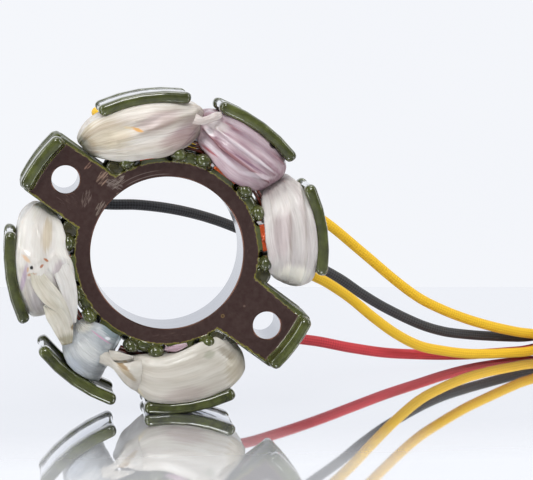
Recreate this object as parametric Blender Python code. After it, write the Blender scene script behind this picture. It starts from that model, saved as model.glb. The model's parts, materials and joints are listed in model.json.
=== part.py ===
"""Wound stator of a small engine's flywheel generator.

A laminated core with six wound poles and two bolt lugs lies between two end plates, whose
pole ends are bent outwards into lips that hold the taped coils. Four braided leads leave
the backs of the coils and end in a four-way connector.

Metres. The origin is at the centre of the bore on the rear mounting face. +X is to the
right, +Z is up, and +Y goes into the crankcase, so the front face looks along -Y.
"""

import math

import bmesh
import bpy
from mathutils import Matrix, Vector

# Core, seen along the bore
BORE_R = 0.0190
RING_WALL = 0.0037
POLE_H = 0.0173
SHOE_T = 0.0022
SHOE_HALF_DEG = 16.8
NECK_W = 0.0060
NECK_FILLET_R = 0.0010
LUG_W = 0.0158
LUG_FILLET_R = 0.0016
LUG_CORNER_R = 0.0009
LUG_HOLE_R = 0.0035
LUG_HOLE_SHARE = 0.48

# Core, along the bore
CORE_T = 0.0150
PLATE_T = 0.0012
LIP_H = 0.0030
LIP_EDGE_R = 0.0008
LIP_BEND_R = 0.0018

# Round tabs at the roots of the wound poles
TAB_OUT = 0.0012
TAB_D = 0.0023
TAB_DEG = 15.0
TAB_H = 0.0028

# Where the poles point, anticlockwise from +X as the viewer sees them
FIRST_POLE_DEG = 98.2
POLE_COUNT = 8
LUG_PLACES = (1, 5)

# Coils
CLEAR = 0.0003
TAPE_T = 0.0004
COIL_BULGE = 0.0050
COIL_END_BULGE = 0.0034
WINDING_GAP = 0.0004
WRAP_GAP = 0.0015
WRAP_SHOULDER = 0.0011
COIL_SQUARENESS = 2.6
STATION_POINTS = 16

# Name, place of the pole, reach clockwise and anticlockwise in degrees, share of the bulge
COILS = (
    ("top", 0, 21.9, 29.4, 1.0),
    ("left", 2, 28.0, 21.6, 1.0),
    ("lower_left", 3, 11.4, 10.6, 0.62),
    ("bottom", 4, 21.8, 26.9, 1.0),
    ("right", 6, 24.3, 21.9, 1.0),
    ("top_right", 7, 21.9, 21.9, 1.0),
)

# Tape between the coils
STRIP_T = 0.0005
TONGUE_W = 0.0050
TONGUE_TIP_W = 0.0028
BRIDGE_W = 0.0042
BRIDGE_SHARE = 0.64
TONGUE_SHARE = 0.40
TONGUE_TIP_SHARE = 0.57
LINK_SHARE = 0.42
LINK_SMALL_R = 0.0020
LINK_LARGE_R = 0.0042
LINK_DEPTH = 0.0040

# Splice sleeves on the backs of the coils
SLEEVE_D = 0.0036
SLEEVE_L = 0.0100
SLEEVE_EDGE_R = 0.0005

# Leads, their coil and its ties, on the surface that the part stands on
LEAD_D = 0.0028
LEAD_STEP = 0.0070
LEAD_PITCH = 0.0030
TIE_T = 0.0006
TIE_W = 0.0030
RING_X = 0.1360
RING_Y = 0.0430
RING_MEAN_R = 0.0155
TAIL_START_DEG = 140.0
TAIL_L = 0.0130

# Four-way connector
HOUSING_L = 0.0180
HOUSING_SIDE = 0.0110
HOUSING_EDGE_R = 0.0008
CAVITY_PITCH = 0.0046
CAVITY_SIDE = 0.0034
CAVITY_DEPTH = 0.0090
BLADE_W = 0.0028
BLADE_T = 0.0008
BLADE_L = 0.0070

# Routes of the leads from their sleeves to the edge of the lead coil
UPPER_YELLOW_ROUTE = (
    (-0.0153, 0.0090, 0.0329),
    (-0.0164, 0.0120, 0.0331),
    (-0.0153, 0.0158, 0.0330),
    (-0.0110, 0.0186, 0.0316),
    (0.0050, 0.0215, 0.0260),
    (0.0200, 0.0240, 0.0185),
    (0.0340, 0.0268, 0.0100),
    (0.0462, 0.0302, 0.0019),
    (0.0568, 0.0340, -0.0069),
    (0.0669, 0.0371, -0.0155),
    (0.0738, 0.0393, -0.0206),
    (0.0808, 0.0416, -0.0243),
    (0.0880, 0.0446, -0.0274),
    (0.0952, 0.0473, -0.0299),
    (0.1026, 0.0508, -0.0321),
    (0.1064, 0.0527, -0.0330),
)
LOWER_YELLOW_ROUTE = (
    (0.0338, 0.0086, -0.0046),
    (0.0380, 0.0112, -0.0086),
    (0.0442, 0.0148, -0.0122),
    (0.0510, 0.0185, -0.0170),
    (0.0578, 0.0217, -0.0228),
    (0.0649, 0.0260, -0.0282),
    (0.0724, 0.0315, -0.0325),
    (0.0799, 0.0367, -0.0349),
    (0.0874, 0.0412, -0.0366),
    (0.0949, 0.0453, -0.0375),
    (0.1024, 0.0490, -0.0380),
    (0.1064, 0.0511, -0.0382),
)
BLACK_ROUTE = (
    (-0.0304, 0.0078, 0.0066),
    (-0.0273, 0.0086, 0.0096),
    (-0.0226, 0.0094, 0.0107),
    (-0.0178, 0.0100, 0.0103),
    (-0.0132, 0.0105, 0.0096),
    (-0.0055, 0.0122, 0.0092),
    (0.0034, 0.0155, 0.0077),
    (0.0120, 0.0200, 0.0052),
    (0.0206, 0.0250, 0.0017),
    (0.0350, 0.0320, -0.0053),
    (0.0507, 0.0374, -0.0142),
    (0.0575, 0.0392, -0.0190),
    (0.0644, 0.0408, -0.0233),
    (0.0743, 0.0427, -0.0283),
    (0.0814, 0.0448, -0.0308),
    (0.0887, 0.0477, -0.0323),
    (0.0959, 0.0508, -0.0334),
    (0.1034, 0.0543, -0.0344),
    (0.1073, 0.0564, -0.0348),
)
RED_ROUTE = (
    (0.0210, 0.0105, -0.0261),
    (0.0310, 0.0172, -0.0270),
    (0.0422, 0.0228, -0.0291),
    (0.0521, 0.0265, -0.0317),
    (0.0627, 0.0316, -0.0342),
    (0.0735, 0.0378, -0.0360),
    (0.0809, 0.0425, -0.0371),
    (0.0883, 0.0468, -0.0379),
    (0.0954, 0.0504, -0.0383),
    (0.1031, 0.0537, -0.0385),
    (0.1068, 0.0552, -0.0385),
)

# Name, coil, where the sleeve lies across the pole and as a share of the pole's height,
# way the lead leaves, route, and the lead's place in the bundle, across and up
LEADS = (
    ("yellow_lead_upper", "top", -0.0002, 0.64, -1, UPPER_YELLOW_ROUTE, -1, 1),
    ("yellow_lead_lower", "right", -0.0040, 0.51, 1, LOWER_YELLOW_ROUTE, -1, -1),
    ("black_lead", "left", -0.0020, 0.48, 1, BLACK_ROUTE, 1, 1),
    ("red_lead", "bottom", 0.0000, 0.31, -1, RED_ROUTE, 1, -1),
)

# Colours, linear, with roughness and metallic
BARE_STEEL = ((0.055, 0.034, 0.030), 0.35, 0.8)
GREEN_COAT = ((0.070, 0.095, 0.030), 0.25, 0.0)
COPPER_ENAMEL = ((0.620, 0.120, 0.030), 0.30, 0.6)
TAPE = ((0.660, 0.600, 0.480), 0.55, 0.0)
PINK_TAPE = ((0.560, 0.360, 0.360), 0.40, 0.0)
YELLOW_BRAID = ((0.800, 0.520, 0.020), 0.75, 0.0)
BLACK_BRAID = ((0.020, 0.020, 0.021), 0.80, 0.0)
RED_BRAID = ((0.480, 0.020, 0.020), 0.75, 0.0)
SLEEVE = ((0.030, 0.030, 0.032), 0.45, 0.0)
NYLON = ((0.740, 0.730, 0.690), 0.45, 0.0)
TIN_BRASS = ((0.620, 0.520, 0.300), 0.30, 1.0)

POLE_PITCH_DEG = 360.0 / POLE_COUNT
RING_R = BORE_R + RING_WALL
SHOE_R = RING_R + POLE_H
LUG_HOLE_PITCH_R = RING_R + POLE_H * LUG_HOLE_SHARE
TAB_R = RING_R + TAB_OUT
WINDING_R = RING_R + WINDING_GAP
WRAP_R = RING_R + WRAP_GAP
LINK_R = RING_R + POLE_H * LINK_SHARE
REAR = 0.0
FRONT = -CORE_T
MID = -CORE_T / 2
SHOE_INNER_R = SHOE_R - SHOE_T
SHOE_MID_R = SHOE_R - SHOE_T / 2
FLOOR = -SHOE_R
BUNDLE = LEAD_PITCH + LEAD_D
RING_BASE = FLOOR + TIE_T + CLEAR
TAIL_Z = RING_BASE + BUNDLE * 1.5 + CLEAR


def clear_scene():
    """Remove what the scene holds at the start."""
    for existing in list(bpy.data.objects):
        bpy.data.objects.remove(existing)


def material(name, finish):
    """A Principled material of one colour, roughness and metallic value."""
    made = bpy.data.materials.get(name)
    if made is None:
        colour, roughness, metallic = finish
        made = bpy.data.materials.new(name)
        made.use_nodes = True
        shader = made.node_tree.nodes["Principled BSDF"]
        shader.inputs["Base Color"].default_value = (*colour, 1.0)
        shader.inputs["Roughness"].default_value = roughness
        shader.inputs["Metallic"].default_value = metallic
    return made


def solid(name, bm, finish_name, finish):
    """An object from a bmesh, with its faces turned outwards and its own material."""
    bmesh.ops.recalc_face_normals(bm, faces=bm.faces)
    mesh = bpy.data.meshes.new(name)
    bm.to_mesh(mesh)
    bm.free()
    made = bpy.data.objects.new(name, mesh)
    bpy.context.collection.objects.link(made)
    mesh.materials.append(material(finish_name, finish))
    mesh.shade_smooth()
    mesh.set_sharp_from_angle(angle=math.radians(35))
    return made


def carve(target, tool, operation):
    """Join or cut a tool object into the target, and remove the tool."""
    modifier = target.modifiers.new("carve", "BOOLEAN")
    modifier.operation = operation
    modifier.solver = "EXACT"
    modifier.object = tool
    depsgraph = bpy.context.evaluated_depsgraph_get()
    mesh = bpy.data.meshes.new_from_object(target.evaluated_get(depsgraph))
    target.modifiers.clear()
    target.data = mesh
    mesh.name = target.name
    bpy.data.objects.remove(tool)


def pole_frame(degrees):
    """The matrix that takes (across, along Y, outwards) to a pole at an angle.

    Across is clockwise as the viewer sees it.
    """
    angle = math.radians(degrees)
    across = (math.sin(angle), 0.0, -math.cos(angle))
    outwards = (math.cos(angle), 0.0, math.sin(angle))
    return Matrix((across, (0.0, 1.0, 0.0), outwards)).transposed().to_4x4()


def pole_angle(place):
    """The angle of the pole at a place, counted anticlockwise from the first one."""
    return FIRST_POLE_DEG + POLE_PITCH_DEG * place


def add_loft(bm, rings, closed=False):
    """Skin equal rings of points in order, with flat ends unless the loft closes on itself."""
    loops = [[bm.verts.new(point) for point in ring] for ring in rings]
    pairs = list(zip(loops, loops[1:]))
    if closed:
        pairs.append((loops[-1], loops[0]))
    for low, high in pairs:
        for i in range(len(low)):
            j = (i + 1) % len(low)
            bm.faces.new((low[i], low[j], high[j], high[i]))
    if not closed:
        bm.faces.new(loops[0][::-1])
        bm.faces.new(loops[-1])


def lathe(bm, profile, place, steps):
    """Spin a profile of (radius, height) pairs about the +Z of a placing matrix."""
    verts = [bm.verts.new(place @ Vector((radius, 0.0, height))) for radius, height in profile]
    edges = [bm.edges.new(pair) for pair in zip(verts, verts[1:])]
    centre = place.translation
    axis = (place.to_3x3() @ Vector((0.0, 0.0, 1.0))).normalized()
    bmesh.ops.spin(bm, geom=verts + edges, cent=centre, axis=axis, angle=math.tau, steps=steps,
                   use_merge=True, use_duplicate=False)
    bmesh.ops.remove_doubles(bm, verts=bm.verts, dist=1e-6)


def arc_points(centre, radius, start, end, count):
    """Points on an arc about a centre, from one angle to another, both included."""
    points = []
    for i in range(count + 1):
        angle = start + (end - start) * i / count
        points.append((centre[0] + radius * math.cos(angle), centre[1] + radius * math.sin(angle)))
    return points


def root_side(half_width, fillet):
    """The clockwise side of a pole near the ring: a fillet from the ring to the straight side."""
    centre_across = half_width + fillet
    centre_out = math.sqrt((RING_R + fillet) ** 2 - centre_across ** 2)
    to_ring = math.atan2(-centre_out, -centre_across)
    return arc_points((centre_across, centre_out), fillet, to_ring, -math.pi, 2)


def shoe_side():
    """The clockwise half of a shoe's outline, from the neck to the middle of its outside."""
    end_r = SHOE_T / 2
    end_angle = math.radians(SHOE_HALF_DEG) - end_r / SHOE_MID_R
    neck_angle = math.asin(NECK_W / 2 / SHOE_INNER_R)
    points = []
    for i in range(4):
        angle = neck_angle + (end_angle - neck_angle) * i / 3
        points.append((SHOE_INNER_R * math.sin(angle), SHOE_INNER_R * math.cos(angle)))
    for i in range(1, 4):
        turn = math.pi * i / 4
        radius = SHOE_MID_R - end_r * math.cos(turn)
        angle = end_angle + end_r * math.sin(turn) / SHOE_MID_R
        points.append((radius * math.sin(angle), radius * math.cos(angle)))
    for i in range(4):
        angle = end_angle * (1 - i / 4)
        points.append((SHOE_R * math.sin(angle), SHOE_R * math.cos(angle)))
    return points


def lug_side(outer_r):
    """The clockwise half of a lug's end, with a rounded corner."""
    half = LUG_W / 2 - LUG_CORNER_R
    centre_out = math.sqrt((outer_r - LUG_CORNER_R) ** 2 - half ** 2)
    corner = arc_points((half, centre_out), LUG_CORNER_R, 0.0, math.atan2(centre_out, half), 3)
    angle = math.atan2(half, centre_out)
    return corner + [(outer_r * math.sin(angle / 2), outer_r * math.cos(angle / 2))]


def neck_side(outer_r):
    """The clockwise half of a plain neck's end."""
    return [(NECK_W / 2, math.sqrt(outer_r ** 2 - (NECK_W / 2) ** 2))]


def core_outline(wound_end, lug_end):
    """The outline of ring, poles and lugs, anticlockwise, as (x, z) pairs."""
    outline = []
    for place in range(POLE_COUNT):
        if place in LUG_PLACES:
            side = root_side(LUG_W / 2, LUG_FILLET_R) + lug_end
        else:
            side = root_side(NECK_W / 2, NECK_FILLET_R) + wound_end
        other = [(-across, out) for across, out in reversed(side)]
        frame = pole_frame(pole_angle(place))
        for across, out in side + [(0.0, math.hypot(*side[-1]))] + other:
            point = frame @ Vector((across, 0.0, out))
            outline.append((point.x, point.z))
        root_angle = math.degrees(math.atan2(side[0][0], side[0][1]))
        if (place + 1) % POLE_COUNT in LUG_PLACES:
            next_side = root_side(LUG_W / 2, LUG_FILLET_R)
        else:
            next_side = root_side(NECK_W / 2, NECK_FILLET_R)
        next_angle = math.degrees(math.atan2(next_side[0][0], next_side[0][1]))
        start = pole_angle(place) + root_angle
        end = pole_angle(place + 1) - next_angle
        for i in range(1, 4):
            angle = math.radians(start + (end - start) * i / 4)
            outline.append((RING_R * math.cos(angle), RING_R * math.sin(angle)))
    return outline


def add_prism(bm, outline, low_y, high_y):
    """Extrude a closed outline of (x, z) pairs along Y."""
    face = bm.faces.new([bm.verts.new((x, low_y, z)) for x, z in outline])
    raised = bmesh.ops.extrude_face_region(bm, geom=[face])["geom"]
    moved = [item for item in raised if isinstance(item, bmesh.types.BMVert)]
    bmesh.ops.translate(bm, verts=moved, vec=(0.0, high_y - low_y, 0.0))


def drill(target):
    """Cut the bore and the two bolt holes through a piece of the core."""
    holes = [(0.0, 0.0, BORE_R, 60)]
    for place in LUG_PLACES:
        centre = pole_frame(pole_angle(place)) @ Vector((0.0, 0.0, LUG_HOLE_PITCH_R))
        holes.append((centre.x, centre.z, LUG_HOLE_R, 24))
    bm = bmesh.new()
    for x, z, radius, count in holes:
        angles = [math.tau * i / count for i in range(count)]
        rim = [(x + radius * math.cos(angle), z + radius * math.sin(angle)) for angle in angles]
        add_prism(bm, rim, FRONT - CORE_T, REAR + CORE_T)
    carve(target, solid("holes", bm, "coat", GREEN_COAT), "DIFFERENCE")


def lip_section(foot, shrink):
    """A bent lip cut along the bore: (radius, y) pairs, shrunk about its middle towards an end."""
    tip = FRONT - LIP_H
    root = FRONT + PLATE_T - CLEAR / 2
    edge = LIP_EDGE_R
    section = [
        (SHOE_INNER_R, tip + edge),
        (SHOE_INNER_R + edge * 0.3, tip + edge * 0.3),
        (SHOE_INNER_R + edge, tip),
        (SHOE_R - edge, tip),
        (SHOE_R - edge * 0.3, tip + edge * 0.3),
        (SHOE_R, tip + edge),
        (SHOE_R, root),
        (SHOE_INNER_R - foot, root),
        (SHOE_INNER_R - foot, FRONT + foot * 0.02),
        (SHOE_INNER_R - foot * 0.38, FRONT - foot * 0.30),
        (SHOE_INNER_R - foot * 0.08, FRONT - foot * 0.75),
    ]
    middle = ((SHOE_INNER_R - foot / 2 + SHOE_R) / 2, (tip + root) / 2)
    return [(middle[0] + (r - middle[0]) * shrink, middle[1] + (y - middle[1]) * shrink)
            for r, y in section]


def add_lip(bm, place):
    """Sweep a lip's section about the bore, across one pole, with rounded ends."""
    if place in LUG_PLACES:
        half_deg = math.degrees(math.asin((LUG_W / 2 - CLEAR) / SHOE_R))
        foot = LIP_BEND_R
    else:
        half_deg = SHOE_HALF_DEG
        foot = 0.0
    end_deg = math.degrees(SHOE_T / 2 / SHOE_R)
    inner_deg = half_deg - end_deg
    stops = [(-half_deg, 0.45), (-half_deg + end_deg * 0.35, 0.82)]
    stops += [(inner_deg * (i / 2 - 1), 1.0) for i in range(5)]
    stops += [(half_deg - end_deg * 0.35, 0.82), (half_deg, 0.45)]
    rings = []
    for degrees, shrink in stops:
        frame = pole_frame(pole_angle(place) + degrees)
        section = lip_section(foot, shrink)
        if not foot:
            section = section[:8]
        rings.append([frame @ Vector((0.0, y, radius)) for radius, y in section])
    add_loft(bm, rings)


def add_tab(bm, degrees):
    """Raise a round-ended tab from the ring's edge, joined to it by a short foot."""
    frame = pole_frame(degrees)
    half = TAB_D / 2
    foot_r = RING_R - half
    levels = (
        (FRONT + PLATE_T / 2, foot_r, half),
        (FRONT - TAB_H * 0.15, foot_r, half),
        (FRONT - TAB_H * 0.70, TAB_R - half, half),
        (FRONT - TAB_H, TAB_R - half * 0.60, half * 0.6),
    )
    rings = []
    for y, inner_r, width in levels:
        outer = arc_points((0.0, TAB_R), width, 0.0, math.pi, 3)
        inner = [(-width, inner_r + half - width), (width, inner_r + half - width)]
        rings.append([frame @ Vector((across, y, out)) for across, out in outer + inner])
    add_loft(bm, rings)


def build_core():
    """The bonded stack of laminations, between the two end plates."""
    bm = bmesh.new()
    add_prism(bm, core_outline(shoe_side(), lug_side(SHOE_R)),
              FRONT + PLATE_T + CLEAR, REAR - PLATE_T - CLEAR)
    stack = solid("lamination_stack", bm, "bare_steel", BARE_STEEL)
    drill(stack)


def build_plate(name, mirrored):
    """An end plate: flat body with bent lips and root tabs. The rear one is its mirror image."""
    bm = bmesh.new()
    add_prism(bm, core_outline(neck_side(SHOE_MID_R), lug_side(SHOE_MID_R)), FRONT, FRONT + PLATE_T)
    plate = solid(name, bm, "green_coat", GREEN_COAT)
    drill(plate)
    bent = bmesh.new()
    for place in range(POLE_COUNT):
        add_lip(bent, place)
        if place not in LUG_PLACES:
            add_tab(bent, pole_angle(place) - TAB_DEG)
            add_tab(bent, pole_angle(place) + TAB_DEG)
    carve(plate, solid("bent_ends", bent, "green_coat", GREEN_COAT), "UNION")
    if mirrored:
        mirror = Matrix.Translation((0.0, -CORE_T, 0.0)) @ Matrix.Diagonal((1.0, -1.0, 1.0, 1.0))
        plate.data.transform(mirror)
        plate.data.flip_normals()


def tab_gap_deg():
    """The half-angle between the two tabs at a pole's root, less the running clearance."""
    return TAB_DEG - math.degrees((TAB_D / 2 + CLEAR) / TAB_R)


def wrap_stations(reach, bulge):
    """Radius, half-angle and bulge of a wrap, from the ring to the shoe."""
    narrow = min(tab_gap_deg(), reach)
    shoulder_r = TAB_R + TAB_D / 2 + CLEAR
    end_r = SHOE_INNER_R - CLEAR
    span = end_r - shoulder_r - WRAP_SHOULDER
    full_r = shoulder_r + WRAP_SHOULDER
    low = COIL_END_BULGE * bulge
    high = COIL_BULGE * bulge
    wide = max(reach * 0.9, narrow)
    return (
        (WRAP_R, narrow, low),
        ((WRAP_R + shoulder_r) / 2, narrow, (low + high) / 2),
        (shoulder_r, narrow + (wide - narrow) * 0.22, low + (high - low) * 0.7),
        (full_r, wide, low + (high - low) * 0.9),
        (full_r + span * 0.32, max(reach * 0.98, narrow), high),
        (full_r + span * 0.66, reach, high),
        (full_r + span * 0.88, max(reach * 0.93, narrow), low + (high - low) * 0.75),
        (end_r, max(reach * 0.72, narrow), low),
    )


def coil_ring(frame, radius, clockwise_deg, anticlockwise_deg, bulge, inset):
    """A rounded loop round a pole at one radius, set in from the wrap's outside."""
    depth = CORE_T / 2 + bulge - inset
    power = 2.0 / COIL_SQUARENESS
    points = []
    for i in range(STATION_POINTS):
        turn = math.tau * i / STATION_POINTS
        reach = clockwise_deg if math.cos(turn) > 0 else anticlockwise_deg
        half = radius * math.radians(reach) - inset
        across = math.copysign(abs(math.cos(turn)) ** power, math.cos(turn)) * half
        y = MID - math.copysign(abs(math.sin(turn)) ** power, math.sin(turn)) * depth
        angle = across / radius
        points.append(frame @ Vector((radius * math.sin(angle), y, radius * math.cos(angle))))
    return points


def neck_ring(frame, radius):
    """A rounded rectangle round the neck of a pole, one clearance off it."""
    half = NECK_W / 2 + CLEAR
    depth = CORE_T / 2 + CLEAR
    points = []
    for i in range(STATION_POINTS):
        turn = math.tau * i / STATION_POINTS
        grow = 1.0 / max(abs(math.cos(turn)), abs(math.sin(turn)))
        across = math.cos(turn) * grow * half
        y = MID - math.sin(turn) * grow * depth
        points.append(frame @ Vector((across, y, radius)))
    return points


def winding_space(coil):
    """The stations of the space for a coil's winding: the wrap's, all but one of the middle ones."""
    clockwise, anticlockwise, bulge = coil[2:]
    stations = wrap_stations(min(clockwise, anticlockwise, POLE_PITCH_DEG / 2), bulge)
    return stations[:4] + stations[5:]


def build_winding(coil):
    """The enamelled wire on one pole: it fills the wrap and shows at the ring."""
    frame = pole_frame(pole_angle(coil[1]))
    stations = winding_space(coil)
    inset = TAPE_T + CLEAR
    middle_r = (stations[0][0] + stations[-1][0]) / 2
    rings = [coil_ring(frame, WINDING_R, stations[0][1], stations[0][1], stations[0][2], inset)]
    for radius, half_deg, depth in stations:
        inward_r = radius + math.copysign(CLEAR, middle_r - radius)
        rings.append(coil_ring(frame, inward_r, half_deg, half_deg, depth, inset))
    rings.append(neck_ring(frame, SHOE_INNER_R - 2 * CLEAR))
    rings.append(neck_ring(frame, WINDING_R))
    bm = bmesh.new()
    add_loft(bm, rings, closed=True)
    solid("winding_" + coil[0], bm, "copper_enamel", COPPER_ENAMEL)


def build_wrap(coil):
    """The tape round one coil: an outer skin, and inside it the winding's space."""
    name, place, clockwise, anticlockwise, bulge = coil
    frame = pole_frame(pole_angle(place))
    outside = zip(wrap_stations(clockwise, bulge), wrap_stations(anticlockwise, bulge))
    rings = [coil_ring(frame, one[0], one[1], other[1], one[2], 0.0) for one, other in outside]
    for radius, half_deg, depth in reversed(winding_space(coil)):
        rings.append(coil_ring(frame, radius, half_deg, half_deg, depth, TAPE_T))
    bm = bmesh.new()
    add_loft(bm, rings, closed=True)
    finish = ("pink_tape", PINK_TAPE) if name == "top_right" else ("tape", TAPE)
    solid("tape_wrap_" + name, bm, *finish)


def surface_y(coil, radius, degrees):
    """How far forward a wrap's surface lies at a radius and an angle, or None beside it."""
    place, clockwise, anticlockwise, bulge = coil[1:]
    offset = (pole_angle(place) - degrees + 180.0) % 360.0 - 180.0
    stations = wrap_stations(clockwise if offset > 0 else anticlockwise, bulge)
    for low, high in zip(stations, stations[1:]):
        if low[0] <= radius <= high[0]:
            share = (radius - low[0]) / (high[0] - low[0])
            half_deg = low[1] + (high[1] - low[1]) * share
            depth = low[2] + (high[2] - low[2]) * share
            if abs(offset) >= half_deg:
                return None
            fall = (1.0 - (abs(offset) / half_deg) ** COIL_SQUARENESS) ** (1.0 / COIL_SQUARENESS)
            return MID - (CORE_T / 2 + depth) * fall
    return None


def build_strip(name, coils, start, end, start_w, end_w):
    """A strip of tape that lies on two coils and bridges the gap between them.

    start and end are places on the front of the two coils: a share of the pole's height,
    and degrees.
    """
    count = 12
    rows = []
    for i in range(count + 1):
        share = i / count
        radius = RING_R + POLE_H * (start[0] + (end[0] - start[0]) * share)
        degrees = start[1] + (end[1] - start[1]) * share
        half = (start_w + (end_w - start_w) * share) / 2
        found = [surface_y(coil, radius + side * half, degrees) for coil in coils for side in (-1, 0, 1)]
        rows.append([radius, degrees, min((y for y in found if y is not None), default=0.0)])
    front = [row[2] for row in rows]
    for i, row in enumerate(rows):
        chord = 0.0
        for j in range(i + 1):
            for k in range(i, count + 1):
                if k > j:
                    level = front[j] + (front[k] - front[j]) * (i - j) / (k - j)
                    chord = min(chord, level)
        row[2] = min(front[i], chord)
    rings = []
    for i, (radius, degrees, y) in enumerate(rows):
        half = (start_w + (end_w - start_w) * i / count) / 2
        frame = pole_frame(degrees)
        near = y - 2 * CLEAR
        far = near - STRIP_T
        corners = ((radius - half, near), (radius + half, near), (radius + half, far), (radius - half, far))
        rings.append([frame @ Vector((0.0, depth, out)) for out, depth in corners])
    bm = bmesh.new()
    add_loft(bm, rings)
    solid(name, bm, "tape", TAPE)


def build_link():
    """The taped wires between the lower-left and the bottom coils, pinched at one end."""
    low = next(coil for coil in COILS if coil[0] == "lower_left")
    high = next(coil for coil in COILS if coil[0] == "bottom")
    gap_deg = math.degrees(CLEAR / LINK_R)
    start = pole_angle(low[1]) + low[3] * 1.0 + gap_deg
    end = pole_angle(high[1]) - high[2] - gap_deg
    rings = []
    count = 5
    for i in range(count + 1):
        share = i / count
        frame = pole_frame(start + (end - start) * share)
        size = LINK_SMALL_R + (LINK_LARGE_R - LINK_SMALL_R) * share ** 1.5
        section = arc_points((0.0, 0.0), size, 0.0, math.tau * 11 / 12, 11)
        rings.append([frame @ Vector((0.0, MID - LINK_DEPTH + y, LINK_R + out)) for out, y in section])
    bm = bmesh.new()
    add_loft(bm, rings)
    solid("link_tape_bottom", bm, "tape", TAPE)


def sleeve_place(lead):
    """Where a lead's splice sleeve starts, and the way it points, on the back of its coil."""
    _, coil_name, across, share, way = lead[:5]
    coil = next(item for item in COILS if item[0] == coil_name)
    frame = pole_frame(pole_angle(coil[1]))
    y = REAR + COIL_BULGE * coil[4] + CLEAR + SLEEVE_D / 2
    start = frame @ Vector((across - way * SLEEVE_L / 2, y, RING_R + POLE_H * share))
    direction = frame.to_3x3() @ Vector((way, 0.0, 0.0))
    return start, direction


def build_sleeve(lead):
    """A shrunk sleeve over the joint of a lead and its winding."""
    start, direction = sleeve_place(lead)
    turned = direction.to_track_quat("Z", "Y").to_matrix().to_4x4()
    radius = SLEEVE_D / 2
    edge = SLEEVE_EDGE_R
    profile = ((0.0, 0.0), (radius - edge, 0.0), (radius, edge),
               (radius, SLEEVE_L - edge), (radius - edge, SLEEVE_L), (0.0, SLEEVE_L))
    bm = bmesh.new()
    lathe(bm, profile, Matrix.Translation(start) @ turned, 12)
    solid("splice_sleeve_" + lead[0].replace("_lead", ""), bm, "sleeve", SLEEVE)


def smooth_points(route, step):
    """Points at even steps on a smooth curve through the points of a route."""
    points = [Vector(point) for point in route]
    points = [2 * points[0] - points[1]] + points + [2 * points[-1] - points[-2]]
    fine = []
    for before, start, end, after in zip(points, points[1:], points[2:], points[3:]):
        pull_in = (end - before) / ((end - start).length + (start - before).length)
        pull_out = (after - start) / ((after - end).length + (end - start).length)
        length = (end - start).length
        for i in range(24):
            t = i / 24
            point = start * (2 * t ** 3 - 3 * t ** 2 + 1) + end * (3 * t ** 2 - 2 * t ** 3)
            point += pull_in * length * (t ** 3 - 2 * t ** 2 + t) + pull_out * length * (t ** 3 - t ** 2)
            fine.append(point)
    fine.append(points[-2])
    total = sum((b - a).length for a, b in zip(fine, fine[1:]))
    count = max(2, round(total / step))
    even = [fine[0]]
    run = 0.0
    for a, b in zip(fine, fine[1:]):
        run += (b - a).length
        if run >= total * len(even) / count and len(even) < count:
            even.append(b)
    return even + [fine[-1]]


def tube(name, points, radius, finish_name, finish):
    """A round tube along a line of points, with filled ends."""
    curve = bpy.data.curves.new(name, "CURVE")
    curve.dimensions = "3D"
    curve.bevel_depth = radius
    curve.bevel_resolution = 2
    curve.use_fill_caps = True
    spline = curve.splines.new("POLY")
    spline.points.add(len(points) - 1)
    for target, point in zip(spline.points, points):
        target.co = (*point, 1.0)
    curve.materials.append(material(finish_name, finish))
    made = bpy.data.objects.new(name, curve)
    bpy.context.collection.objects.link(made)


def bundle_place(across, up):
    """A lead's place in the bundle as it enters the coil: its y and z."""
    y = RING_Y + RING_MEAN_R + across * LEAD_PITCH / 2
    z = RING_BASE + BUNDLE / 2 + up * LEAD_PITCH / 2
    return y, z


def build_lead(lead):
    """A braided lead from its sleeve to the edge of the lead coil."""
    name, _, _, _, _, route, across, up = lead
    start, direction = sleeve_place(lead)
    y, z = bundle_place(across, up)
    reach = RING_MEAN_R + BUNDLE / 2 + CLEAR
    inside = y - LEAD_D / 2 - RING_Y
    end_x = RING_X - math.sqrt(reach ** 2 - inside ** 2)
    first = start + direction * (SLEEVE_L + CLEAR)
    second = first + direction * LEAD_D
    last = ((RING_X - reach - CLEAR, y, z), (end_x, y, z))
    colours = {"yellow": ("yellow_braid", YELLOW_BRAID), "black": ("black_braid", BLACK_BRAID),
               "red": ("red_braid", RED_BRAID)}
    points = [first, *smooth_points((second, *route, *last), LEAD_STEP)]
    tube(name, points, LEAD_D / 2, *colours[name.split("_")[0]])


def ring_section(top):
    """The section of the lead coil up to a height, as (radius, z) pairs."""
    low = RING_MEAN_R - BUNDLE / 2
    high = RING_MEAN_R + BUNDLE / 2
    edge = LEAD_D / 2
    return ((low, RING_BASE + edge), (low + edge, RING_BASE),
            (high - edge, RING_BASE), (high, RING_BASE + edge),
            (high, top - edge), (high - edge, top),
            (low + edge, top), (low, top - edge))


def build_lead_coil():
    """The coil in which the four leads are put away: a turned ring."""
    bm = bmesh.new()
    rings = []
    for i in range(24):
        angle = math.tau * i / 24
        rings.append([Vector((RING_X + radius * math.cos(angle), RING_Y + radius * math.sin(angle), z))
                      for radius, z in ring_section(RING_BASE + BUNDLE)])
    add_loft(bm, rings, closed=True)
    solid("lead_coil", bm, "yellow_braid", YELLOW_BRAID)


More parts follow.
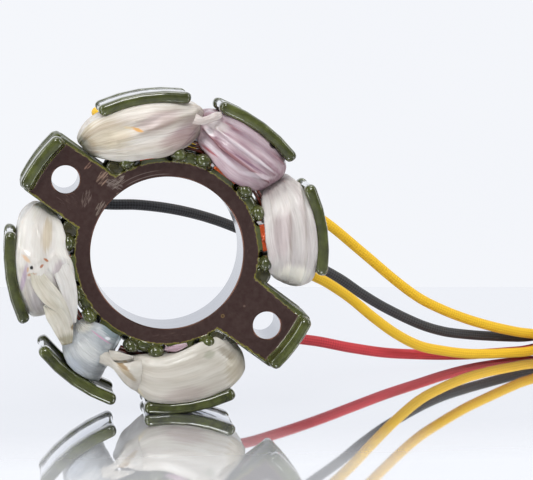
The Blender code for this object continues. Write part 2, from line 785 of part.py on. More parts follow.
def build_tie(name, degrees, top):
    """A flat tie round what lies in the lead coil at one place, up to a height."""
    angle = math.radians(degrees)
    outwards = Vector((math.cos(angle), math.sin(angle), 0.0))
    along = Vector((-math.sin(angle), math.cos(angle), 0.0))
    section = ring_section(top)
    middle = (RING_MEAN_R, sum(z for _, z in section) / len(section))
    rings = []
    for offset in (CLEAR, CLEAR + TIE_T):
        grown = []
        for radius, z in section:
            grown.append((radius + math.copysign(offset, radius - middle[0]),
                          z + math.copysign(offset, z - middle[1])))
        for shift in ((-TIE_W / 2, TIE_W / 2) if offset > CLEAR else (TIE_W / 2, -TIE_W / 2)):
            centre = Vector((RING_X, RING_Y, 0.0)) + along * shift
            rings.append([centre + outwards * radius + Vector((0.0, 0.0, z)) for radius, z in grown])
    bm = bmesh.new()
    add_loft(bm, rings, closed=True)
    solid(name, bm, "nylon", NYLON)


def housing_front():
    """The x, y and z of the middle of the connector's wire end."""
    return RING_X + RING_MEAN_R, RING_Y - RING_MEAN_R - TAIL_L, FLOOR + HOUSING_SIDE / 2


def build_tail():
    """The bundle's last stretch: on top of the coil, then down to the connector."""
    x, y, z = housing_front()
    route = []
    for i in range(7):
        angle = math.radians(TAIL_START_DEG * (1 - i / 6))
        across = RING_MEAN_R * math.cos(angle)
        back = RING_MEAN_R * math.sin(angle)
        route.append((RING_X + across, RING_Y + back, TAIL_Z))
    fall = TAIL_Z - z
    run = RING_Y - y
    route += [(x, y + run * 0.62, z + fall * 0.86), (x, y + run * 0.34, z + fall * 0.22),
              (x, y + run * 0.14, z), (x, y + CLEAR, z)]
    tube("lead_tail", smooth_points(route, LEAD_STEP / 2), BUNDLE / 2, "yellow_braid", YELLOW_BRAID)


def build_connector():
    """A four-way connector: a moulded housing with a blade terminal in each cavity."""
    x, y, z = housing_front()
    half = HOUSING_SIDE / 2
    bm = bmesh.new()
    outline = ((x - half, z - half), (x + half, z - half), (x + half, z + half), (x - half, z + half))
    add_prism(bm, outline, y - HOUSING_L, y)
    long_edges = [edge for edge in bm.edges if abs(edge.verts[0].co.y - edge.verts[1].co.y) > HOUSING_L / 2]
    bmesh.ops.bevel(bm, geom=long_edges, offset=HOUSING_EDGE_R, segments=2, profile=0.5, affect="EDGES")
    housing = solid("connector_housing", bm, "nylon", NYLON)
    cavities = bmesh.new()
    number = 0
    for column in (-0.5, 0.5):
        for row in (-0.5, 0.5):
            number += 1
            centre = Vector((x + column * CAVITY_PITCH, 0.0, z + row * CAVITY_PITCH))
            side = CAVITY_SIDE / 2
            hole = ((centre.x - side, centre.z - side), (centre.x + side, centre.z - side),
                    (centre.x + side, centre.z + side), (centre.x - side, centre.z + side))
            mouth = y - HOUSING_L
            add_prism(cavities, hole, mouth - CLEAR, mouth + CAVITY_DEPTH)
            wide = BLADE_W / 2
            thin = BLADE_T / 2
            blade = ((centre.x - wide, centre.z - thin), (centre.x + wide, centre.z - thin),
                     (centre.x + wide, centre.z + thin), (centre.x - wide, centre.z + thin))
            terminal = bmesh.new()
            back = mouth + CAVITY_DEPTH - CLEAR
            add_prism(terminal, blade, back - BLADE_L, back)
            solid(f"blade_terminal_{number}", terminal, "tin_brass", TIN_BRASS)
    carve(housing, solid("cavities", cavities, "nylon", NYLON), "DIFFERENCE")


def build():
    """Make every piece of the stator."""
    clear_scene()
    build_core()
    build_plate("front_end_plate", False)
    build_plate("rear_end_plate", True)
    for coil in COILS:
        build_winding(coil)
        build_wrap(coil)
    by_name = {coil[0]: coil for coil in COILS}
    top_deg = pole_angle(by_name["top"][1])
    left_deg = pole_angle(by_name["left"][1])
    build_strip("tape_bridge_top", (by_name["top"], by_name["top_right"]),
                (BRIDGE_SHARE, top_deg - 15.0), (BRIDGE_SHARE, top_deg - 30.0), BRIDGE_W, BRIDGE_W)
    build_strip("tape_tongue", (by_name["left"], by_name["lower_left"]),
                (TONGUE_SHARE, left_deg + 8.0), (TONGUE_TIP_SHARE, left_deg + POLE_PITCH_DEG - 7.0),
                TONGUE_W, TONGUE_TIP_W)
    build_link()
    for lead in LEADS:
        build_sleeve(lead)
        build_lead(lead)
    build_lead_coil()
    build_tie("coil_tie_front", 235.0, RING_BASE + BUNDLE)
    build_tie("coil_tie_rear", 45.0, TAIL_Z + BUNDLE / 2)
    build_tail()
    build_connector()


build()
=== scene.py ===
"""Wound stator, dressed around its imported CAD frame.

Everything is in metres, in the part's own frame: the origin is at the centre of the bore on
the rear mounting face, +X is to the right, +Z is up and +Y runs away from the viewer. The
places and sizes repeat the named dimensions of the part's source.
"""

from __future__ import annotations

import json
import logging
import math
from collections.abc import Callable
from dataclasses import dataclass, field
from enum import Enum

import bmesh
import bpy
from mathutils import Matrix, Vector, noise

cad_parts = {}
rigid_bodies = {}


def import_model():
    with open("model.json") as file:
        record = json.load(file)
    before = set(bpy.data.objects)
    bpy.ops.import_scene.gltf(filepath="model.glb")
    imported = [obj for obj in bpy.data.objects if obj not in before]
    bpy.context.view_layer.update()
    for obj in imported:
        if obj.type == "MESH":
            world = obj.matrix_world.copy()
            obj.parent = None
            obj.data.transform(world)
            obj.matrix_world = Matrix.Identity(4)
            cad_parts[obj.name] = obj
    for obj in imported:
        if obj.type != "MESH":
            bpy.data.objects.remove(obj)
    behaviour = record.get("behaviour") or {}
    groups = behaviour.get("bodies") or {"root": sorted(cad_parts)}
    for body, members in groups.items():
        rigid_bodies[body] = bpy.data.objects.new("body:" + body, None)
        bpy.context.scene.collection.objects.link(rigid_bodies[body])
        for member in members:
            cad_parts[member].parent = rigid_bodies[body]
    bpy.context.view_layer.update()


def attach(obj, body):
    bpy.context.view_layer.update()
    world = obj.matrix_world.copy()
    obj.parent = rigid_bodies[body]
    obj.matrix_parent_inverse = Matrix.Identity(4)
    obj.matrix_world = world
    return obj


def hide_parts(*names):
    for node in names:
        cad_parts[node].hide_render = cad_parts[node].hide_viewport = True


LOG = logging.getLogger("stator")
MM = 0.001

# Core
BORE_R = 19.0 * MM
RING_R = 22.7 * MM
SHOE_R = 40.0 * MM
SHOE_T = 2.2 * MM
SHOE_INNER_R = SHOE_R - SHOE_T
NECK_W = 6.0 * MM
LUG_W = 15.8 * MM
LUG_FACE_R = 36.0 * MM
LUG_HOLE_R = 3.5 * MM
LUG_HOLE_PITCH_R = 31.0 * MM
CORE_T = 15.0 * MM
PLATE_T = 1.2 * MM
LIP_H = 3.0 * MM
FRONT = -CORE_T
MID = -CORE_T / 2
FLOOR = -SHOE_R
FIRST_POLE_DEG = 98.2
LUG_DEGREES = (143.2, -36.8)
WOUND_DEGREES = (98.2, 53.2, 8.2, -81.8, -126.8, -171.8)
TAB_DEG = 15.0
TAB_R = 23.9 * MM
CLEAR = 0.3 * MM

# Leads and the coil in which they are put away
LEAD_D = 2.8 * MM
LEAD_PITCH = 3.0 * MM
BUNDLE = LEAD_PITCH + LEAD_D
TIE_T = 0.6 * MM
RING_X = 136.0 * MM
RING_Y = 43.0 * MM
RING_MEAN_R = 15.5 * MM
RING_BASE = FLOOR + TIE_T + CLEAR
TAIL_L = 13.0 * MM
HOUSING_SIDE = 11.0 * MM


class Side(Enum):
    """Which face of the core something lies on."""

    FRONT = -1
    REAR = 1


def linear(hex_code: str) -> tuple[float, float, float, float]:
    """Turn an sRGB hex colour into linear values.

    Args:
        hex_code: six hex digits, with or without a leading hash.

    Returns:
        Linear red, green, blue and an alpha of 1.
    """
    digits = hex_code.lstrip("#")
    values = [int(digits[i:i + 2], 16) / 255.0 for i in (0, 2, 4)]
    red, green, blue = (v / 12.92 if v <= 0.04045 else ((v + 0.055) / 1.055) ** 2.4 for v in values)
    return red, green, blue, 1.0


def add_node(tree: bpy.types.NodeTree, kind: str, inputs: dict | None = None, **settings: object) -> bpy.types.Node:
    """Add a node with its settings, values and links.

    Args:
        tree: the tree that gets the node.
        kind: the node's type name.
        inputs: socket name or number to a value, or to an output socket to link from.
        settings: attributes of the node.

    Returns:
        The new node.
    """
    made = tree.nodes.new(kind)
    for name, value in settings.items():
        setattr(made, name, value)
    for key, value in (inputs or {}).items():
        if isinstance(value, bpy.types.NodeSocket):
            tree.links.new(value, made.inputs[key])
        else:
            made.inputs[key].default_value = value
    return made


def ramp(tree: bpy.types.NodeTree, factor: bpy.types.NodeSocket, stops: list[tuple[float, str]]) -> bpy.types.NodeSocket:
    """Colour a factor through stops of (position, hex colour).

    Args:
        tree: the material's tree.
        factor: what is coloured.
        stops: two or more positions with their colours.

    Returns:
        The colour output.
    """
    made = add_node(tree, "ShaderNodeValToRGB", {"Fac": factor})
    elements = made.color_ramp.elements
    while len(elements) < len(stops):
        elements.new(0.5)
    for element, (position, colour) in zip(elements, stops):
        element.position = position
        element.color = linear(colour)
    return made.outputs["Color"]


def mix_colour(tree: bpy.types.NodeTree, factor: object, first: object, second: object,
               blend: str = "MIX") -> bpy.types.NodeSocket:
    """Mix two colours.

    Args:
        tree: the material's tree.
        factor: share of the second colour, a number or an output.
        first: colour or output.
        second: colour or output.
        blend: how the second goes over the first.

    Returns:
        The mixed colour output.
    """
    made = add_node(tree, "ShaderNodeMix", {0: factor, 6: first, 7: second}, data_type="RGBA", blend_type=blend)
    return made.outputs[2]


def maths(tree: bpy.types.NodeTree, operation: str, *values: object, clamp: bool = False) -> bpy.types.NodeSocket:
    """Do one sum on numbers or outputs.

    Args:
        tree: the material's tree.
        operation: the sum's name.
        values: one to three numbers or outputs.
        clamp: keep the result between 0 and 1.

    Returns:
        The result's output.
    """
    made = add_node(tree, "ShaderNodeMath", dict(enumerate(values)), operation=operation, use_clamp=clamp)
    return made.outputs[0]


def new_material(name: str) -> tuple[bpy.types.Material, bpy.types.NodeTree, bpy.types.Node]:
    """Make a node material.

    Args:
        name: the material's name.

    Returns:
        The material, its tree and its Principled shader.
    """
    made = bpy.data.materials.new(name)
    made.use_nodes = True
    return made, made.node_tree, made.node_tree.nodes["Principled BSDF"]


def oval(tree: bpy.types.NodeTree, place: bpy.types.NodeSocket, centre: tuple[float, float],
         half: tuple[float, float], turn: float, fray: bpy.types.NodeSocket | None = None) -> bpy.types.NodeSocket:
    """Mask a turned oval as the viewer sees it, the same all along Y.

    Args:
        tree: the material's tree.
        place: the piece's Object coordinates.
        centre: the oval's x and z, in millimetres.
        half: its half length and half width, in millimetres.
        turn: how far its length turns anticlockwise from +X, in degrees.
        fray: a number about 0.5 that frays its edge.

    Returns:
        An output that is 1 inside and 0 outside.
    """
    local = add_node(tree, "ShaderNodeMapping", {
        "Vector": place, "Location": (centre[0] * MM, 0.0, centre[1] * MM), "Rotation": (0.0, -math.radians(turn), 0.0),
        "Scale": (half[0] * MM, 1.0, half[1] * MM)}, vector_type="TEXTURE")
    reach = add_node(tree, "ShaderNodeVectorMath", {0: local.outputs[0]}, operation="LENGTH").outputs["Value"]
    if fray is not None:
        reach = maths(tree, "MULTIPLY_ADD", fray, 1.6, maths(tree, "SUBTRACT", reach, 0.8))
    return add_node(tree, "ShaderNodeMapRange", {"Value": reach, "From Min": 1.25, "From Max": 0.6},
                    clamp=True, interpolation_type="SMOOTHSTEP").outputs[0]


def pole_frame(degrees: float) -> Matrix:
    """The matrix that takes (across, along Y, outwards) to a pole.

    Args:
        degrees: the pole's angle, anticlockwise from +X as the viewer sees it.

    Returns:
        The placing matrix; across is clockwise.
    """
    angle = math.radians(degrees)
    across = (math.sin(angle), 0.0, -math.cos(angle))
    outwards = (math.cos(angle), 0.0, math.sin(angle))
    return Matrix((across, (0.0, 1.0, 0.0), outwards)).transposed().to_4x4()


def mesh_piece(name: str, verts: list[Vector], faces: list[tuple[int, ...]],
               uvs: list[tuple[float, float]] | None = None) -> bpy.types.Object:
    """Make a smooth-shaded object from points and faces.

    Args:
        name: the piece's name.
        verts: its points.
        faces: its faces, as point numbers.
        uvs: one pair for each corner of each face, in order.

    Returns:
        The new object, linked to the scene.
    """
    mesh = bpy.data.meshes.new(name)
    mesh.from_pydata([tuple(v) for v in verts], [], faces)
    if uvs is not None:
        layer = mesh.uv_layers.new(name="weave")
        layer.data.foreach_set("uv", [value for pair in uvs for value in pair])
    mesh.update()
    mesh.shade_smooth()
    made = bpy.data.objects.new(name, mesh)
    bpy.context.scene.collection.objects.link(made)
    return made


def grid_faces(rows: int, columns: int, closed_columns: bool, closed_rows: bool = False) -> list[tuple[int, ...]]:
    """Faces of a grid of points, numbered row by row.

    Args:
        rows: how many rows of points.
        columns: how many points in a row.
        closed_columns: join the last column to the first.
        closed_rows: join the last row to the first.

    Returns:
        Four-cornered faces.
    """
    faces = []
    for i in range(rows if closed_rows else rows - 1):
        for j in range(columns if closed_columns else columns - 1):
            after = (j + 1) % columns
            above = (i + 1) % rows
            faces.append((i * columns + j, i * columns + after, above * columns + after, above * columns + j))
    return faces


def outwards(piece: bpy.types.Object) -> None:
    """Turn a closed piece's faces outwards."""
    bm = bmesh.new()
    bm.from_mesh(piece.data)
    bmesh.ops.recalc_face_normals(bm, faces=bm.faces)
    bm.to_mesh(piece.data)
    bm.free()


def only(piece: bpy.types.Object) -> None:
    """Select one object alone and make it active."""
    bpy.ops.object.select_all(action="DESELECT")
    piece.select_set(True)
    bpy.context.view_layer.objects.active = piece


def pick(piece: bpy.types.Object, kind: str, test: Callable[[Vector], bool]) -> None:
    """Select the parts of a piece in edit mode whose middle passes a test.

    Args:
        piece: the piece, in edit mode.
        kind: VERT, EDGE or FACE.
        test: takes the middle of a part and says whether it is selected.
    """
    bpy.ops.mesh.select_mode(type=kind)
    bpy.ops.mesh.select_all(action="DESELECT")
    edit = bmesh.from_edit_mesh(piece.data)
    for item in {"VERT": edit.verts, "EDGE": edit.edges, "FACE": edit.faces}[kind]:
        corners = [item] if kind == "VERT" else item.verts
        if test(sum((corner.co for corner in corners), Vector()) / len(corners)):
            item.select_set(True)
    edit.select_flush_mode()
    bmesh.update_edit_mesh(piece.data)


def apply_modifiers(piece: bpy.types.Object) -> None:
    """Apply a piece's modifiers in order."""
    only(piece)
    for modifier in list(piece.modifiers):
        bpy.ops.object.modifier_apply(modifier=modifier.name)


def settle(piece: bpy.types.Object) -> None:
    """Put a piece's place and turn into its mesh."""
    only(piece)
    bpy.ops.object.transform_apply(location=True, rotation=True, scale=True)


def dress(piece: bpy.types.Object, material: bpy.types.Material, slot: str, *nodes: str) -> None:
    """Give a piece its finish, put it on the root body and hide the CAD nodes that it replaces.

    Args:
        piece: the finished piece.
        material: its material.
        slot: the record's slot; not used.
        nodes: the CAD nodes that it replaces.
    """
    piece.data.materials.clear()
    piece.data.materials.append(material)
    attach(piece, "root")
    if nodes:
        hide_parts(*nodes)
    LOG.info("%s: %d faces", piece.name, len(getattr(piece.data, "polygons", ())))


def smooth_points(route: list[Vector], step: float) -> list[Vector]:
    """Points at even steps on a smooth curve through a route.

    Args:
        route: the points that the curve passes through.
        step: the distance between the points that come back.

    Returns:
        Evenly spaced points, both ends included.
    """
    points = [2 * route[0] - route[1], *route, 2 * route[-1] - route[-2]]
    fine = []
    for before, start, end, after in zip(points, points[1:], points[2:], points[3:]):
        length = (end - start).length
        pull_in = (end - before) / (length + (start - before).length)
        pull_out = (after - start) / ((after - end).length + length)
        for i in range(24):
            t = i / 24
            point = start * (2 * t ** 3 - 3 * t ** 2 + 1) + end * (3 * t ** 2 - 2 * t ** 3)
            point += pull_in * length * (t ** 3 - 2 * t ** 2 + t) + pull_out * length * (t ** 3 - t ** 2)
            fine.append(point)
    fine.append(route[-1].copy())
    total = sum((b - a).length for a, b in zip(fine, fine[1:]))
    count = max(2, round(total / step))
    even = [fine[0]]
    run = 0.0
    for a, b in zip(fine, fine[1:]):
        length = (b - a).length
        while len(even) < count and run + length >= total * len(even) / count:
            even.append(a + (b - a) * ((total * len(even) / count - run) / length))
        run += length
    return [*even, fine[-1]]


def line_length(points: list[Vector]) -> float:
    """The length of a line of points."""
    return sum((b - a).length for a, b in zip(points, points[1:]))


def level(keys: list[tuple[float, ...]], place: float, column: int) -> float:
    """Read a smooth curve through rows of key values.

    Args:
        keys: rows that start with their place, in rising order.
        place: where to read.
        column: which value of the row to read.

    Returns:
        The value, kept at the end rows beyond them.
    """
    if place <= keys[0][0]:
        return keys[0][column]
    if place >= keys[-1][0]:
        return keys[-1][column]
    i = next(k for k in range(len(keys) - 1) if keys[k][0] <= place <= keys[k + 1][0])
    before = keys[max(i - 1, 0)]
    start = keys[i]
    end = keys[i + 1]
    after = keys[min(i + 2, len(keys) - 1)]
    width = end[0] - start[0]
    t = (place - start[0]) / width
    slope_in = (end[column] - before[column]) / max(end[0] - before[0], 1e-9) * width
    slope_out = (after[column] - start[column]) / max(after[0] - start[0], 1e-9) * width
    return (start[column] * (2 * t ** 3 - 3 * t ** 2 + 1) + end[column] * (3 * t ** 2 - 2 * t ** 3)
            + slope_in * (t ** 3 - 2 * t ** 2 + t) + slope_out * (t ** 3 - t ** 2))


# Finishes


@dataclass(frozen=True)
class EpoxyOnSteel:
    """Powder-coated epoxy on rolled steel, ground off the flat face.

    The coat is glossy and slightly see-through, so it is olive where thick and yellower where
    it thins out at an edge. The bare steel is dark brown with fine scratches.
    """

    name: str
    masked: bool
    gloss: float = 1.0
    thick: str = "#2D310F"
    body: str = "#41461B"
    pale: str = "#575E2A"
    thin: str = "#867C26"
    pool: str = "#2E260C"
    steel: str = "#43302D"
    steel_light: str = "#51403C"
    rubs: tuple[tuple[float, float, float, float, float, float, float, float, str], ...] = (
        (-19.2, 22.0, 1.6, 0.7, 45, 1500.0, 0.77, 0.8, "#A07C6C"), (-15.9, 18.8, 2.3, 1.5, 50, 1300.0, 0.75, 0.85, "#A88C79"),
        (-12.6, 18.0, 2.9, 1.9, 35, 2600.0, 0.79, 0.75, "#A2948A"), (-12.9, 17.2, 2.7, 1.6, -25, 2700.0, 0.80, 0.6, "#93867E"),
        (-16.3, 11.4, 2.6, 1.3, 62, 2300.0, 0.79, 0.7, "#97887C"), (-19.8, 13.8, 2.8, 1.6, 74, 2700.0, 0.81, 0.6, "#8C7A71"),
        (-24.0, 13.5, 4.5, 3.0, -38, 2700.0, 0.86, 0.4, "#7E6A62"), (28.1, -24.4, 5.0, 0.6, 47, 2600.0, 0.80, 0.5, "#8F6A62"),
        (-1.0, -21.0, 9.0, 1.4, 5, 2600.0, 0.90, 0.35, "#7E6A62"), (20.0, 4.0, 8.0, 1.2, 80, 2600.0, 0.90, 0.35, "#7E6A62"))
    arcs: tuple[tuple[float, float, float, float], ...] = ((19.62, -4.6, 19.0, 0.5), (20.6, -7.3, 19.2, 0.4))
    pits: tuple[tuple[float, float, float, str], ...] = (
        (13.8, -16.0, 0.45, "#8A6E48"), (13.8, -16.0, 0.22, "#3A2C22"), (19.2, -13.6, 0.28, "#7C655A"),
        (-11.9, 14.6, 0.5, "#A8927F"), (-10.2, 15.6, 0.4, "#B9A795"))

    def coat(self, tree: bpy.types.NodeTree, place: bpy.types.NodeSocket) -> bpy.types.NodeSocket:
        """Colour of the epoxy, mottled over 2 to 6 mm as it flowed."""
        flow = add_node(tree, "ShaderNodeTexNoise", {"Vector": place, "Scale": 260.0, "Detail": 4.0, "Roughness": 0.55})
        return ramp(tree, flow.outputs["Fac"], [(0.3, self.thick), (0.5, self.body), (0.72, self.pale)])

    def bare(self, tree: bpy.types.NodeTree, place: bpy.types.NodeSocket) -> bpy.types.NodeSocket:
        """Colour of the bare steel with its grain, rubs and scratches."""
        grain = add_node(tree, "ShaderNodeTexNoise", {"Vector": place, "Scale": 900.0, "Detail": 5.0, "Roughness": 0.6})
        base = ramp(tree, grain.outputs["Fac"], [(0.3, self.steel), (0.75, self.steel_light)])
        colour = base
        for x, z, reach, wide, turn, scale, low, strength, tone in self.rubs:
            turned = add_node(tree, "ShaderNodeMapping", {"Vector": place, "Rotation": (0.0, -math.radians(turn), 0.0),
                                                          "Scale": (11.0, 1.0, 1.0)}, vector_type="TEXTURE")
            streaks = add_node(tree, "ShaderNodeTexNoise", {"Vector": turned.outputs[0], "Scale": scale * 1.7, "Detail": 5.0,
                                                            "Roughness": 0.65})
            near = oval(tree, place, (x, z), (reach, wide), turn)
            amount = maths(tree, "MULTIPLY_ADD", near, 0.31, streaks.outputs["Fac"])
            share = add_node(tree, "ShaderNodeMapRange", {"Value": amount, "From Min": low, "From Max": low + 0.06,
                                                          "To Max": strength}, clamp=True)
            colour = mix_colour(tree, share.outputs[0], colour, linear(tone))
        flat = add_node(tree, "ShaderNodeVectorMath", {0: place, 1: (1.0, 0.0, 1.0)}, operation="MULTIPLY").outputs[0]
        out = add_node(tree, "ShaderNodeVectorMath", {0: flat}, operation="LENGTH").outputs["Value"]
        for radius, x, z, strength in self.arcs:
            off = maths(tree, "ABSOLUTE", maths(tree, "SUBTRACT", out, radius * MM))
            line = add_node(tree, "ShaderNodeMapRange", {"Value": off, "From Min": 0.14 * MM, "From Max": 0.04 * MM,
                                                         "To Max": strength}, clamp=True).outputs[0]
            near = oval(tree, place, (x, z), (5.5, 3.0), 15)
            colour = mix_colour(tree, maths(tree, "MULTIPLY", line, near), colour, linear("#A0918A"))
        for x, z, radius, tone in self.pits:
            away = add_node(tree, "ShaderNodeVectorMath", {0: place, 1: (x * MM, FRONT, z * MM)}, operation="DISTANCE")
            share = add_node(tree, "ShaderNodeMapRange", {"Value": away.outputs["Value"], "From Min": radius * 1.3 * MM,
                                                          "From Max": radius * 0.8 * MM, "To Max": 0.8}, clamp=True)
            colour = mix_colour(tree, share.outputs[0], colour, linear(tone))
        return colour

    def build(self) -> bpy.types.Material:
        """Build the material."""
        material, tree, shader = new_material(self.name)
        place = add_node(tree, "ShaderNodeTexCoord").outputs["Object"]
        coat = self.coat(tree, place)
        shader.inputs["Specular IOR Level"].default_value = 0.3 * self.gloss
        shader.inputs["Coat Roughness"].default_value = 0.06
        shader.inputs["Coat IOR"].default_value = 1.52
        ripple = add_node(tree, "ShaderNodeTexNoise", {"Vector": place, "Scale": 480.0, "Detail": 2.0})
        if not self.masked:
            shader.inputs["Roughness"].default_value = 0.55 - 0.25 * self.gloss
            shader.inputs["Coat Weight"].default_value = self.gloss
            tree.links.new(coat, shader.inputs["Base Color"])
            bump = add_node(tree, "ShaderNodeBump", {"Height": ripple.outputs["Fac"], "Strength": 0.25,
                                                     "Distance": 0.0002})
            tree.links.new(bump.outputs[0], shader.inputs["Normal"])
            return material
        for degrees in LUG_DEGREES:
            for way in (-1, 1):
                corner = pole_frame(degrees) @ Vector((way * 9.4 * MM, 0.0, 23.0 * MM))
                pool = oval(tree, place, (corner.x / MM, corner.z / MM), (2.2, 1.7), degrees)
                coat = mix_colour(tree, maths(tree, "MULTIPLY", pool, 0.75), coat, linear(self.pool))
        inside = add_node(tree, "ShaderNodeAttribute", attribute_name="inside").outputs["Fac"]
        ragged = add_node(tree, "ShaderNodeTexNoise", {"Vector": place, "Scale": 1100.0, "Detail": 4.0,
                                                       "Roughness": 0.65})
        shifted = maths(tree, "MULTIPLY_ADD", ragged.outputs["Fac"], 1.5, inside)
        bare = add_node(tree, "ShaderNodeMapRange", {"Value": shifted, "From Min": 0.98, "From Max": 1.18},
                        clamp=True).outputs[0]
        edge = add_node(tree, "ShaderNodeMapRange", {"Value": shifted, "From Min": 0.62, "From Max": 0.98},
                        clamp=True).outputs[0]
        thinned = mix_colour(tree, maths(tree, "MULTIPLY", edge, 0.75), coat, linear(self.thin))
        colour = mix_colour(tree, bare, thinned, self.bare(tree, place))
        tree.links.new(colour, shader.inputs["Base Color"])
        tree.links.new(maths(tree, "MULTIPLY", bare, 0.55), shader.inputs["Metallic"])
        tree.links.new(maths(tree, "MULTIPLY_ADD", bare, 0.16, 0.26), shader.inputs["Roughness"])
        tree.links.new(maths(tree, "SUBTRACT", 1.0, bare), shader.inputs["Coat Weight"])
        grit = add_node(tree, "ShaderNodeTexNoise", {"Vector": place, "Scale": 2600.0, "Detail": 3.0})
        raised = maths(tree, "MULTIPLY_ADD", bare, -0.9, maths(tree, "MULTIPLY", ripple.outputs["Fac"], 0.6))
        height = maths(tree, "MULTIPLY_ADD", grit.outputs["Fac"], 0.10, raised)
        bump = add_node(tree, "ShaderNodeBump", {"Height": height, "Strength": 0.5, "Distance": 0.00015})
        tree.links.new(bump.outputs[0], shader.inputs["Normal"])
        return material


@dataclass(frozen=True)
class MachinedSteel:
    """Ground bore and drilled holes: bright low-carbon steel with fine turning lines."""

    name: str
    colour: str
    light: str
    roughness: float
    relief: float = 0.03

    def build(self) -> bpy.types.Material:
        """Build the material, with turning lines about 0.3 mm apart, drawn coarser than real ones."""
        material, tree, shader = new_material(self.name)
        place = add_node(tree, "ShaderNodeTexCoord").outputs["Object"]
        stretched = add_node(tree, "ShaderNodeMapping", {"Vector": place, "Scale": (8.0, 3200.0, 8.0)})
        lines = add_node(tree, "ShaderNodeTexNoise", {"Vector": stretched.outputs[0], "Scale": 1.0, "Detail": 2.0})
        colour = ramp(tree, lines.outputs["Fac"], [(0.3, self.colour), (0.8, self.light)])
        tree.links.new(colour, shader.inputs["Base Color"])
        shader.inputs["Metallic"].default_value = 1.0
        shader.inputs["Roughness"].default_value = self.roughness
        bump = add_node(tree, "ShaderNodeBump", {"Height": lines.outputs["Fac"], "Strength": self.relief,
                                                 "Distance": 0.00005})
        tree.links.new(bump.outputs[0], shader.inputs["Normal"])
        return material


@dataclass(frozen=True)
class CopperEnamel:
    """Enamelled magnet wire: copper under a clear orange-red polyester film."""

    name: str
    deep: str
    light: str

    def build(self) -> bpy.types.Material:
        """Build the material."""
        material, tree, shader = new_material(self.name)
        place = add_node(tree, "ShaderNodeTexCoord").outputs["Object"]
        tone = add_node(tree, "ShaderNodeTexNoise", {"Vector": place, "Scale": 300.0, "Detail": 2.0})
        colour = ramp(tree, tone.outputs["Fac"], [(0.3, self.deep), (0.7, self.light)])
        tree.links.new(colour, shader.inputs["Base Color"])
        shader.inputs["Metallic"].default_value = 0.35
        shader.inputs["Roughness"].default_value = 0.3
        shader.inputs["Coat Weight"].default_value = 0.8
        shader.inputs["Coat Roughness"].default_value = 0.1
        return material


